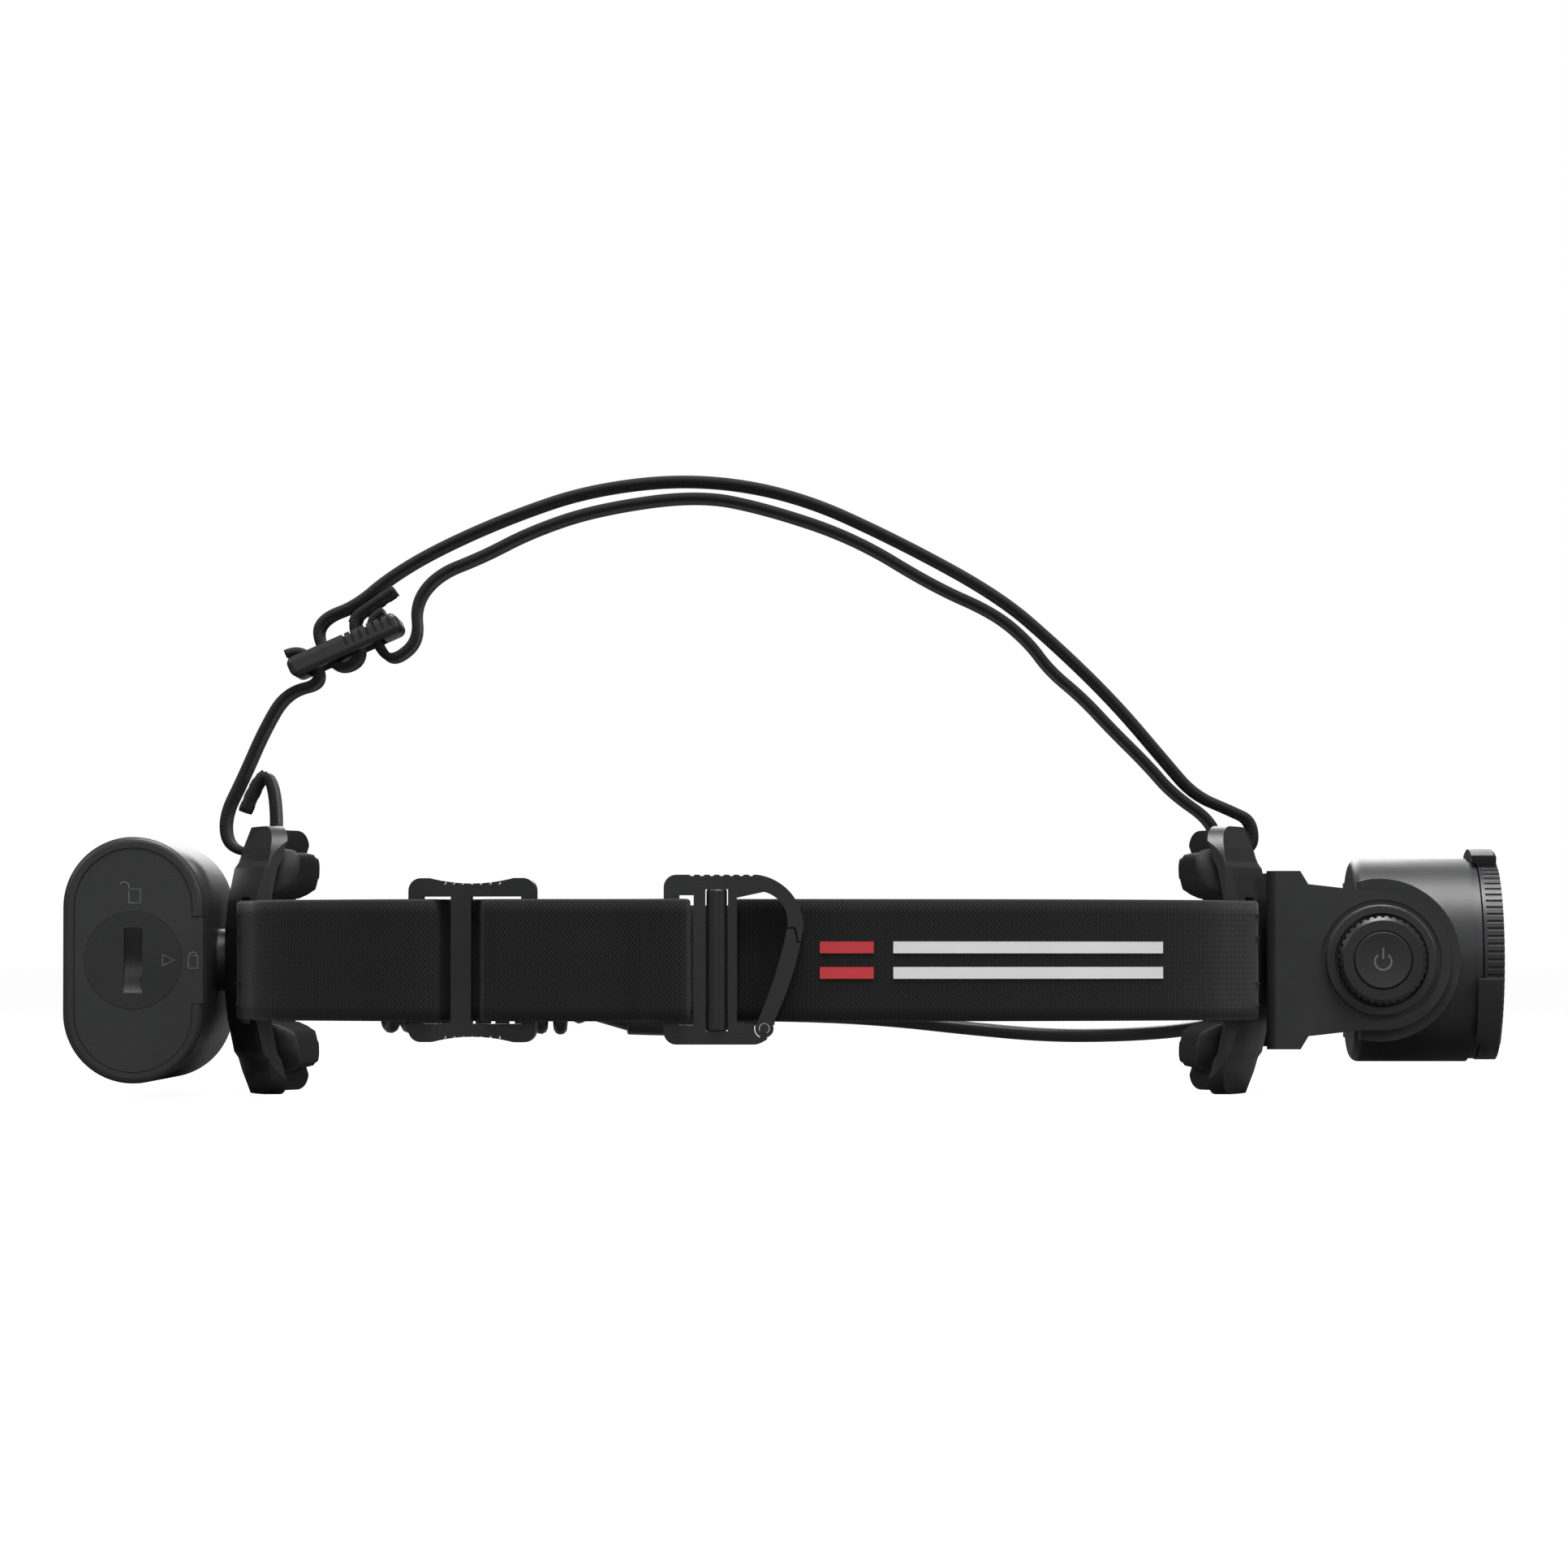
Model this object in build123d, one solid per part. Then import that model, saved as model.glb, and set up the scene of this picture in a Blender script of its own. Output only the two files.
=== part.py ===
from build123d import *
import math
import os

# Headlamp for camping. All sizes are millimetres.
# Origin: centre of the headband loop, half way up the band. +X is forwards, +Y the wearer's left, +Z up.

# ---------------------------------------------------------------- driving sizes
RUN = 0.06          # radial gap of a shaft that turns in a bore
GAP = 0.3           # gap between soft or loosely fitted pieces

BAND_W = 25.0       # woven band, width and thickness
BAND_T = 1.5
STRAP_W = 15.0      # strap over the head
STRAP_T = 1.8

PLATE_X = 112.6     # outer face of the front plate on the middle line; the rear plate is at -PLATE_X
PLATE_R = 70.0      # radius of the plates' curve seen from above
PLATE_T = 2.9       # plate thickness
PLATE_H = 56.8      # plate height
PLATE_W = 67.0      # plate width
PAD_T = 4.6         # foam pad thickness
STUD_R = 6.7        # collar between plate and lamp bracket, and plate and battery case
SHANK_R = 3.0

PIVOT_X = 134.1     # tilt axis of the lamp
DRUM_R = 21.8       # lamp drum
DRUM_BACK = 4.6     # drum's back face behind the tilt axis
DRUM_FRONT = 20.4   # collar edge in front of the tilt axis
DRUM_FRONT_END = 22.1
NECK_END = 25.5     # front of the neck that carries the focus ring
NECK_R = 18.6
BORE_R = 16.0       # bore that the lens carrier slides in
SINK_R = 19.5       # wider bore at the back of the drum
WINDOW_R = 17.2
WINDOW_T = 1.4
RING_R = DRUM_R - 0.4       # focus ring
RING_LUG_R = DRUM_R + 2.1
RING_W = 4.3
RING_RIBS = 80
LUG_ANGLE = 40.0    # width of each of the three lugs, in degrees

ARM_IN = DRUM_R + 0.5       # bracket arms, inner and outer faces from the middle plane
ARM_OUT = ARM_IN + 3.7
ARM_R = 14.8        # round end of an arm
HUB_R = 9.88        # pivot hub of the drum
COLLAR_R = 11.8
COLLAR_H = 1.4
FLANGE_X = 116.4    # front face of the bracket's base
FLANGE_H = 37.8
DIAL_R = 9.3
DIAL_END = ARM_OUT + 4.8
NOSE_R = 7.0
BUTTON_R = 6.15
BUTTON_TRAVEL = 0.8

CASE_X = -128.8     # middle of the battery case
CASE_W = 29.5       # case section, across and high
CASE_H = 51.8
CASE_L = 78.0
WALL = 2.3
DOOR_T = 3.0
TAB_H = 18.4        # door tab on the side of the rim
LOCK_R = 10.2
CAM_R = 9.8         # half length of the locking bar, inside the door seal
COIN_W = 3.9
COIN_L = 15.0
CELL_R = 9.2
CELL_L = 65.0
CELL_GAP = 21.4     # distance between the two cells' axes

CABLE_D = 3.2
COIL_D = 12.0
LINK_D = 9.6        # cable connector

HALF_PLATE = PLATE_X - PLATE_R
SLOT_IN = 21.2      # band slot of a plate, in degrees round its curve
SLOT_OUT = 25.8
SLOT_H = BAND_W + 1.6
STRAP_SLOT = (21.6, 25.2)


# ---------------------------------------------------------------- helpers
def block(x0, x1, y0, y1, z0, z1):
    """A box between two corners."""
    middle = Pos((x0 + x1) / 2, (y0 + y1) / 2, (z0 + z1) / 2)
    return middle * Box(x1 - x0, y1 - y0, z1 - z0)


def rod_x(radius, x0, x1, y=0.0, z=0.0):
    return Pos((x0 + x1) / 2, y, z) * Rot(0, 90, 0) * Cylinder(radius, x1 - x0)


def rod_y(radius, y0, y1, x=0.0, z=0.0):
    return Pos(x, (y0 + y1) / 2, z) * Rot(90, 0, 0) * Cylinder(radius, y1 - y0)


def rod_z(radius, z0, z1, x=0.0, y=0.0):
    return Pos(x, y, (z0 + z1) / 2) * Cylinder(radius, z1 - z0)


def both_sides(shape):
    """The shape and its mirror image across the middle plane, fused."""
    return shape + mirror(shape, Plane.XZ)


def bend_radii(points):
    """The largest arc that each corner's two runs leave room for."""
    radii = []
    for a, b, c in zip(points, points[1:], points[2:]):
        before = Vector(*b) - Vector(*a)
        after = Vector(*c) - Vector(*b)
        turn = math.radians(before.get_angle(after))
        radii.append(0.45 * min(before.length, after.length) / math.tan(turn / 2))
    return radii


def route(points):
    """Straight runs joined by tangent arcs."""
    return FilletPolyline(*points, radius=bend_radii(points))


def ribbon(points, width, thick, across):
    """A flat strap along a route; across is the direction of its width."""
    path = route(points)
    start = Plane(origin=path @ 0, x_dir=across, z_dir=path % 0)
    return sweep(start * Rectangle(width, thick), path=path)


def tube(name, points, diameter):
    """A round lead along a route, with its radii printed."""
    path = route(points)
    radii = [round(r, 1) for r in bend_radii(points)]
    print(name, "length", round(path.length, 1), "radii", radii)
    start = Plane(origin=path @ 0, z_dir=path % 0)
    solid = sweep(start * Circle(diameter / 2), path=path)
    print(name, "volume", round(solid.volume), "section x length", round(math.pi * diameter**2 / 4 * path.length))
    return solid


def round_plate(angle, radius, side=1):
    """A point on a plate's curve seen from above; side is 1 on the far side and -1 on the near side."""
    turn = math.radians(angle)
    return (HALF_PLATE + radius * math.cos(turn), side * radius * math.sin(turn))


PARTS = {}


def keep(name, shape):
    PARTS[name] = shape


# ---------------------------------------------------------------- lamp head
BACK = PIVOT_X - DRUM_BACK          # back face of the drum
FRONT = PIVOT_X + DRUM_FRONT
NECK_START = PIVOT_X + DRUM_FRONT_END
NECK_TIP = PIVOT_X + NECK_END
BACK_WALL = BACK + 2.0              # inner side of the back wall
STEP = PIVOT_X + 8.0                # the wide bore ends and the lens bore begins
SEAL_X = NECK_TIP - WINDOW_T - 0.6  # front ledge that the window's gasket lies on
NOSE_FLOOR = ARM_OUT - 1.0          # bottom of the button's well


def lamp_housing():
    drum = rod_x(DRUM_R, BACK, FRONT)
    drum = fillet(drum.edges().sort_by(Axis.X)[0], 1.8)
    drum += rod_x(DRUM_R - 0.6, FRONT, NECK_START) + rod_x(NECK_R, NECK_START, NECK_TIP)
    cheek = rod_y(ARM_R + 2.5, 10, ARM_IN - GAP, PIVOT_X)
    cheek -= block(PIVOT_X - 30, BACK + 0.6, 0, 40, -30, 30)
    hub = rod_y(HUB_R, ARM_IN - GAP, ARM_OUT + 0.2, PIVOT_X)
    nose = rod_y(NOSE_R, ARM_OUT, DIAL_END - 1.4, PIVOT_X)
    body = drum + both_sides(cheek + hub) + mirror(nose, Plane.XZ)
    body -= rod_x(SINK_R, BACK_WALL, STEP) + rod_x(BORE_R, STEP, NECK_TIP)
    body -= rod_x(WINDOW_R, SEAL_X, NECK_TIP)
    body -= rod_x(SINK_R - 2, BACK, BACK_WALL)
    body -= rod_y(BUTTON_R + RUN, -40, -NOSE_FLOOR, PIVOT_X)
    body -= rod_y(1.8, -40, 40, PIVOT_X)
    return body


def rear_cap():
    cap = rod_x(SINK_R - 2.05, BACK, BACK_WALL)
    return cap - rod_x(5, BACK, BACK + 0.6)


def heat_sink():
    floor = BACK_WALL + 1.4
    sink = rod_x(SINK_R - 0.1, floor, floor + 4)
    sink -= rod_x(SINK_R - 2.2, floor, floor + 1.6)
    for step in range(-5, 6):
        middle = step * 2.8
        sink -= block(floor + 2.6, floor + 5, middle - 0.5, middle + 0.5, -20, -9.5)
        sink -= block(floor + 2.6, floor + 5, middle - 0.5, middle + 0.5, 9.5, 20)
    return sink


def driver_board():
    board = rod_x(SINK_R - 0.2, BACK_WALL, BACK_WALL + 1.4)
    for y, z in ((-6, 3), (2, -5), (6, 6)):
        board += block(BACK_WALL + 1.2, BACK_WALL + 2.6, y - 2, y + 2, z - 1.5, z + 1.5)
    return board


LED_X = BACK_WALL + 5.4


def led_board():
    return rod_x(8, LED_X, LED_X + 1.2) - rod_x(1.1, LED_X, LED_X + 1.2, 5.5) - rod_x(1.1, LED_X, LED_X + 1.2, -5.5)


def led_emitter():
    base = block(LED_X + 1.2, LED_X + 2, -1.8, 1.8, -1.8, 1.8)
    return base + rod_x(1.5, LED_X + 2, LED_X + 2.5)


LENS_BACK = PIVOT_X + 8.6
LENS_FRONT = LENS_BACK + 9.6
LENS_R = 15.2


def collimator_lens():
    outline = Polyline(
        (LENS_BACK, 0), (LENS_BACK, 6.0), (LENS_FRONT - 1.6, LENS_R - 0.4), (LENS_FRONT - 1.6, LENS_R),
        (LENS_FRONT - 0.4, LENS_R), (LENS_FRONT - 0.4, 0), (LENS_BACK, 0),
    )
    return revolve(make_face(outline), Axis.X)


def lens_carrier():
    carrier = rod_x(BORE_R - 0.2, LENS_BACK - 0.2, LENS_FRONT)
    carrier -= rod_x(LENS_R + 0.02, LENS_FRONT - 1.6, LENS_FRONT)
    hollow = Polyline(
        (LENS_BACK - 0.2, 0), (LENS_BACK - 0.2, 7.0), (LENS_FRONT - 1.6, LENS_R - 0.3), (LENS_FRONT - 1.6, 0),
        (LENS_BACK - 0.2, 0),
    )
    return carrier - revolve(make_face(hollow), Axis.X)


def window_seal():
    return rod_x(WINDOW_R - 0.1, SEAL_X, SEAL_X + 0.6) - rod_x(BORE_R - 0.3, SEAL_X, SEAL_X + 0.6)


def front_window():
    return rod_x(WINDOW_R - 0.1, SEAL_X + 0.6, NECK_TIP)


BEZEL_R = NECK_R + 1.6
RING_START = NECK_START + 0.3
RING_END = RING_START + RING_W


def front_bezel():
    ring = rod_x(BEZEL_R, NECK_TIP, NECK_TIP + 1.0) - rod_x(BORE_R - 0.4, NECK_TIP, NECK_TIP + 1.0)
    return chamfer(ring.edges().group_by(Axis.X)[-1], 0.3)


def focus_ring():
    ring = rod_x(RING_R, RING_START, RING_END)
    rib_step = 360 / RING_RIBS
    groove = rod_x(0.42, RING_START + 0.7, RING_END + 1, 0, RING_R + 0.12)
    ring -= [Rot(rib_step * i, 0, 0) * groove for i in range(RING_RIBS)]
    lug_sector = rod_x(RING_LUG_R, RING_START - 1.4, RING_END - 0.3)
    lug_sector = chamfer(lug_sector.edges().group_by(Axis.X)[-1], 0.5)
    lug_sector -= rod_x(DRUM_R + 0.35, RING_START - 2, RING_START)
    lug_sector -= rod_x(RING_R - 1.5, RING_START, RING_END)
    reach = 2 * RING_LUG_R
    half = reach * math.tan(math.radians(LUG_ANGLE / 2))
    corners = Polyline((0, 0), (half, reach), (-half, reach), (0, 0))
    wedge = extrude(Plane.YZ * make_face(corners), 400)
    for turn in (0, 120, 240):
        ring += Rot(turn, 0, 0) * wedge & lug_sector
    ring -= rod_x(NECK_R + RUN, RING_START - 3, RING_END + 1)
    ring -= rod_x(BEZEL_R + 0.15, NECK_TIP - 0.1, RING_END + 1)
    return ring


def dimmer_dial():
    dial = rod_y(DIAL_R, ARM_OUT + 0.3, DIAL_END, PIVOT_X)
    dial = chamfer(dial.edges().group_by(Axis.Y)[-1], 0.9)
    groove = rod_y(0.5, ARM_OUT, DIAL_END + 1, PIVOT_X, DIAL_R + 0.15)
    turned = Pos(PIVOT_X, 0, 0) * Rot(0, 10, 0) * Pos(-PIVOT_X, 0, 0)
    for _ in range(36):
        dial -= groove
        groove = turned * groove
    dial -= rod_y(NOSE_R + RUN, ARM_OUT, DIAL_END - 1.3, PIVOT_X)
    dial -= rod_y(BUTTON_R + 0.12, ARM_OUT, DIAL_END + 1, PIVOT_X)
    return mirror(dial, Plane.XZ)


def power_button():
    button = rod_y(BUTTON_R, DIAL_END - 2.8, DIAL_END + 0.1, PIVOT_X)
    button = chamfer(button.edges().group_by(Axis.Y)[-1], 0.35)
    button += rod_y(1.6, NOSE_FLOOR + 1.9, DIAL_END - 2.7, PIVOT_X)
    bowl_r = 40.0
    bowl = Pos(PIVOT_X, DIAL_END + 0.1 + bowl_r - 0.42, 0) * Sphere(bowl_r)
    return mirror(button - bowl, Plane.XZ)


def button_switch():
    switch = block(PIVOT_X - 2.6, PIVOT_X + 2.6, NOSE_FLOOR, NOSE_FLOOR + 0.8, -2.6, 2.6)
    return mirror(switch, Plane.XZ)


def button_spring():
    low, high = NOSE_FLOOR + 0.8, DIAL_END - 2.8 - BUTTON_TRAVEL    # as short as it is when pressed
    turns = 3
    wire = 0.45
    coil_r = 3.4
    spring = None
    step = (high - low - wire) / (turns - 1)
    for i in range(turns):
        hoop = Pos(PIVOT_X, low + wire / 2 + i * step, 0) * Rot(90, 0, 0) * Torus(coil_r, wire / 2)
        spring = hoop if spring is None else spring + hoop
    for side in (-1, 1):
        spring += rod_y(0.2, low + wire / 2, high - wire / 2, PIVOT_X + side * coil_r)
    return mirror(spring, Plane.XZ)


def pivot_cap():
    cap = rod_y(DIAL_R, ARM_OUT + 0.2, ARM_OUT + 3.0, PIVOT_X)
    cap = fillet(cap.edges().group_by(Axis.Y)[-1], 1.0)
    return cap - block(PIVOT_X - 4, PIVOT_X + 4, ARM_OUT + 2.4, ARM_OUT + 4, -0.6, 0.6)


keep("lamp_housing", lamp_housing())
keep("rear_cap", rear_cap())
keep("heat_sink", heat_sink())
keep("driver_board", driver_board())
keep("led_board", led_board())
keep("led_emitter", led_emitter())
keep("collimator_lens", collimator_lens())
keep("lens_carrier", lens_carrier())
keep("window_seal", window_seal())
keep("front_window", front_window())
keep("front_bezel", front_bezel())
keep("focus_ring", focus_ring())
keep("dimmer_dial", dimmer_dial())
keep("power_button", power_button())
keep("button_switch", button_switch())
keep("button_spring", button_spring())
keep("pivot_cap", pivot_cap())


# ---------------------------------------------------------------- lamp bracket and plates
STUD_GAP = 1.3                      # gap that the stud's collar holds open
BRACKET_BACK = PLATE_X + STUD_GAP        # the bracket's back face on the middle line
NOTCH_TOP = -8.0                    # the drum's lower edge swings through the notch below this


def bracket():
    base_z = FLANGE_H / 2
    side = Polyline(
        (BRACKET_BACK - 5, -base_z), (FLANGE_X + 0.6, -base_z), (FLANGE_X + 2.3, -16.1), (PIVOT_X - 4, -ARM_R),
        (PIVOT_X, -ARM_R), (PIVOT_X, ARM_R), (PIVOT_X - 4, ARM_R), (FLANGE_X + 2.3, 16.1),
        (FLANGE_X + 0.6, base_z), (BRACKET_BACK - 5, base_z), (BRACKET_BACK - 5, -base_z),
    )
    wide = extrude(Plane.XZ * make_face(side), 30, both=True)
    wide += rod_y(ARM_R, -30, 30, PIVOT_X)
    curve_r = PLATE_R + STUD_GAP
    plan = block(HALF_PLATE, PIVOT_X + ARM_R + 1, -ARM_OUT, ARM_OUT, -base_z, base_z)
    plan -= rod_z(curve_r, -30, 30, HALF_PLATE)
    corner = plan.edges().filter_by(Axis.Z).group_by(Axis.X)[0]
    plan = fillet(corner, 2.4)
    yoke = wide & plan
    yoke -= block(FLANGE_X, PIVOT_X + 20, -ARM_IN, ARM_IN, -30, 30)
    yoke -= block(BRACKET_BACK - 8, FLANGE_X + 1, -ARM_IN - 0.01, ARM_IN + 0.01, -30, NOTCH_TOP)
    collar = rod_y(COLLAR_R, ARM_OUT - 0.5, ARM_OUT + COLLAR_H, PIVOT_X)
    collar = fillet(collar.edges().group_by(Axis.Y)[-1], 0.5)
    yoke += both_sides(collar)
    yoke -= rod_y(HUB_R + RUN, -40, 40, PIVOT_X)
    ditch = rod_y(12.8, ARM_OUT - 0.35, ARM_OUT + 1, PIVOT_X) - rod_y(12.2, ARM_OUT - 1, ARM_OUT + 2, PIVOT_X)
    yoke -= both_sides(ditch)
    return yoke - rod_x(SHANK_R, 100, 130)


def stud(reach):
    """The post that holds a unit on the front plate; reach is where its shank ends."""
    plate_hole = PLATE_X - PLATE_T
    collar = rod_x(STUD_R, PLATE_X - 1, BRACKET_BACK) & rod_z(PLATE_R + STUD_GAP, -20, 20, HALF_PLATE)
    collar -= rod_z(PLATE_R, -20, 20, HALF_PLATE)
    return collar + rod_x(SHANK_R, plate_hole, reach)


SIDE_OUT = ((0.0, 7.0), (-0.6, 12.8), (-2.0, 19.6), (-2.9, 20.9), (-3.7, 23.7), (-5.5, 28.4))


def spin_about_curve(face):
    """A section on the middle plane, spun 30 degrees each way about the axis of the plate's curve."""
    spun = revolve(face, Axis((HALF_PLATE, 0, 0), (0, 0, 1)), 60)
    return Pos(HALF_PLATE, 0, 0) * Rot(0, 0, -30) * Pos(-HALF_PLATE, 0, 0) * spun


def plate():
    """The curved front plate, spun about the axis of its own curve."""
    outer = [(PLATE_X + dx, z) for dx, z in SIDE_OUT]
    inner = [(PLATE_X - PLATE_T + dx, z) for dx, z in SIDE_OUT]
    right = [(x, -z) for x, z in reversed(outer)] + outer
    left = [(x, z) for x, z in reversed(inner)] + [(x, -z) for x, z in inner]
    face = Plane.XZ * make_face(Polyline(*right, *left, close=True))
    outline = block(80, 120, -PLATE_W / 2, PLATE_W / 2, -PLATE_H / 2, PLATE_H / 2)
    outline = fillet(outline.edges().filter_by(Axis.X), 9)
    body = spin_about_curve(face) & outline
    half = SLOT_H / 2
    for side in (-1, 1):
        middle = (SLOT_IN + SLOT_OUT) / 2
        width = math.radians(SLOT_OUT - SLOT_IN) * PLATE_R
        slot = block(PLATE_R - 12, PLATE_R + 8, -width / 2, width / 2, -half, half)
        body -= Pos(HALF_PLATE, 0, 0) * Rot(0, 0, side * middle) * slot
    low, high = STRAP_SLOT
    room = STRAP_W / 2 + 1
    body -= block(90, 125, -room, room, low, high)
    body -= block(PLATE_X - 6.3, 125, -room, room, low, 40)
    return body - rod_x(SHANK_R, 90, 125)


def pad():
    """The soft pad behind a plate: an upper and a lower cushion joined across the middle."""
    radius_out = PLATE_R - PLATE_T
    thin = PAD_T * 0.45
    top, shoulder = 24.0, 15.4
    outer = [(HALF_PLATE + radius_out + dx - 0.02, z) for dx, z in SIDE_OUT if z < 21]
    outer.append((HALF_PLATE + radius_out - 3.9, top))
    inner = [
        (PLATE_X - PLATE_T - PAD_T - 3.4, top - 0.6), (PLATE_X - PLATE_T - PAD_T - 2.4, shoulder),
        (PLATE_X - PLATE_T - thin, shoulder - 2.4),
    ]
    right = [(x, -z) for x, z in reversed(outer)] + outer
    left = inner + [(x, -z) for x, z in reversed(inner)]
    face = Plane.XZ * make_face(Polyline(*right, *left, close=True))
    outline = block(80, 120, -PLATE_W / 2 + 2, PLATE_W / 2 - 2, -top, top)
    outline = fillet(outline.edges().filter_by(Axis.X), 7)
    body = spin_about_curve(face) & outline
    for side in (-1, 1):
        window = block(PLATE_R - 20, PLATE_R + 8, -8, 20, -SLOT_H / 2, SLOT_H / 2)
        if side < 0:
            window = mirror(window, Plane.XZ)
        body -= Pos(HALF_PLATE, 0, 0) * Rot(0, 0, side * SLOT_OUT) * window
    room = STRAP_W / 2 + 1.2
    return body - block(90, 125, -room, room, STRAP_SLOT[0] - 1, 40)


front_plate = plate()
front_pad = pad()
keep("bracket", bracket())
keep("front_stud", stud(FLANGE_X))
keep("front_plate", front_plate)
keep("front_pad", front_pad)
keep("rear_plate", mirror(front_plate, Plane.YZ))
keep("rear_pad", mirror(front_pad, Plane.YZ))


# ---------------------------------------------------------------- battery case
CASE_NEAR = -CASE_L / 2
CASE_FAR = CASE_L / 2
INNER_NEAR = CASE_NEAR + DOOR_T         # inner side of the door
CELL_NEAR = CASE_FAR - WALL - 0.8 - CELL_L


def oval(inset, y0, y1):
    """A slice of the case's oval section, shrunk all round by inset."""
    section = SlotOverall(CASE_H - 2 * inset, CASE_W - 2 * inset, rotation=90)
    turned = Plane(origin=(CASE_X, y1, 0), x_dir=(1, 0, 0), z_dir=(0, -1, 0))
    return extrude(turned * section, y1 - y0)


def tab_block(play, y0, y1):
    """The tongue of the door that reaches the case's outside on the plate's side."""
    inside = CASE_X + CASE_W / 2 - 2 * WALL
    half = TAB_H / 2 - play
    return block(inside, CASE_X + CASE_W, y0, y1, -half, half)


def battery_case():
    case = oval(0, CASE_NEAR, CASE_FAR)
    case = fillet(case.edges().group_by(Axis.Y)[-1], 3.5)
    case = fillet(case.edges().group_by(Axis.Y)[0], 1.2)
    case -= oval(WALL, CASE_NEAR, CASE_FAR - WALL)
    case -= tab_block(0, CASE_NEAR, CASE_NEAR + 6)
    case -= rod_x(SHANK_R, CASE_X, -100)
    case -= rod_y(CABLE_D / 2 + 0.8, CASE_FAR - 5, CASE_FAR + 1, CABLE_EXIT[0], CABLE_EXIT[2])
    return case


def battery_door():
    door = oval(WALL + 0.12, CASE_NEAR + 0.2, INNER_NEAR)
    tab = tab_block(0.12, CASE_NEAR + 0.2, CASE_NEAR + 5.9) & oval(0.1, CASE_NEAR, CASE_NEAR + 10)
    door += tab - oval(WALL + 0.12, INNER_NEAR, CASE_NEAR + 20)
    door -= rod_y(LOCK_R + RUN, CASE_NEAR, CASE_NEAR + 2.0, CASE_X)
    door -= rod_y(4 + RUN, CASE_NEAR, INNER_NEAR + 1, CASE_X)
    return door


def coin_lock():
    lock = rod_y(LOCK_R, CASE_NEAR + 0.15, CASE_NEAR + 1.9, CASE_X)
    lock += rod_y(4, CASE_NEAR + 1.5, INNER_NEAR + 0.3, CASE_X)
    cutter_r = 12.0
    scoop = rod_x(cutter_r, CASE_X - COIN_W / 2, CASE_X + COIN_W / 2, CASE_NEAR + 1.4 - cutter_r + 0.9)
    return lock - (scoop & block(CASE_X - 5, CASE_X + 5, CASE_NEAR - 2, INNER_NEAR, -COIN_L / 2, COIN_L / 2))


def lock_cam():
    """The locking bar behind the door; it stays inside the door's outline."""
    bar = block(CASE_X - 2.5, CASE_X + 2.5, INNER_NEAR + 0.3, INNER_NEAR + 1.5, -CAM_R, CAM_R)
    return bar & rod_y(CAM_R, INNER_NEAR, INNER_NEAR + 2, CASE_X)


def door_seal():
    return oval(WALL + 0.2, INNER_NEAR, INNER_NEAR + 1.2) - oval(WALL + 1.6, INNER_NEAR - 1, INNER_NEAR + 2)


def cell_places():
    return [(CASE_X - 1.0, z) for z in (-CELL_GAP / 2, CELL_GAP / 2)]


def cell_cradle():
    cradle = oval(WALL + 0.25, CELL_NEAR + 4, CASE_FAR - WALL - 0.8)
    for x, z in cell_places():
        cradle -= rod_y(CELL_R + 0.15, CELL_NEAR, CASE_FAR, x, z)
    return cradle - block(CASE_X + CASE_W / 2 - WALL - 3.4, CASE_X + CASE_W, CELL_NEAR, CASE_FAR, -9.6, 9.6)


def cells():
    pair = []
    for x, z in cell_places():
        cell = rod_y(CELL_R, CELL_NEAR, CASE_FAR - WALL - 0.9, x, z)
        cell = fillet(cell.edges(), 0.5)
        pair.append(cell)
    return Compound(children=pair)


def contact_plate():
    return oval(WALL + 0.4, CASE_FAR - WALL - 0.8, CASE_FAR - WALL) - block(-200, 0, 0, 60, -1, 1)


def contact_springs():
    pair = []
    for x, z in cell_places():
        low, high = INNER_NEAR + 1.6, CELL_NEAR
        spring = rod_y(0.5, low, high, x, z)
        hoops = 4
        for i in range(hoops):
            y = low + 0.3 + i * (high - low - 0.6) / (hoops - 1)
            spring += Pos(x, y, z) * Rot(90, 0, 0) * Torus(3.4 - 0.5 * i, 0.3)
        spring += block(x - 3.6, x + 3.6, low, low + 0.5, z - 0.6, z + 0.6)
        spring += block(x - 3.6, x + 3.6, high - 0.5, high, z - 0.6, z + 0.6)
        pair.append(spring)
    return Compound(children=pair)


def charge_board():
    x = CASE_X + CASE_W / 2 - WALL - 2.6
    board = block(x, x + 1.2, CELL_NEAR + 8, CASE_FAR - 12, -9.2, 9.2)
    return board + block(x + 1.1, x + 2.2, CELL_NEAR + 14, CELL_NEAR + 20, 3.5, 8)


CABLE_EXIT = (-123.0, CASE_FAR + 4.0, -8.0)     # tip of the battery gland
GLAND_TIP = (114.0, ARM_OUT + 3.4, -8.0)        # tip of the lamp gland


def gland(tip, toward, length, collar):
    """A tapered strain relief; toward is the way the lead leaves it."""
    plane = Plane(origin=tip, z_dir=toward)
    body = plane * Pos(0, 0, -length / 2) * Cone(CABLE_D / 2 + collar, CABLE_D / 2 + 0.7, length)
    for i in range(3):
        ring = plane * Pos(0, 0, -length * 0.2 - i * 1.3) * (Cylinder(6, 0.35) - Cylinder(CABLE_D / 2 + 0.9, 0.4))
        body -= ring
    return body


def lamp_gland():
    """The lead's strain relief on a foot that is moulded to the far bracket arm."""
    foot = block(FLANGE_X + 0.6, PIVOT_X - 13.2, ARM_OUT, GLAND_TIP[1] + 2.4, GLAND_TIP[2] - 3.4, GLAND_TIP[2] + 3.4)
    foot = fillet(foot.edges().group_by(Axis.Y)[-1], 1.2)
    relief = gland(GLAND_TIP, (-1, 0, 0), FLANGE_X + 0.8 - GLAND_TIP[0], 1.2)
    return foot + relief


def case_gland():
    return gland(CABLE_EXIT, (0, 1, 0), CABLE_EXIT[1] - CASE_FAR, 1.6)


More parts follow.
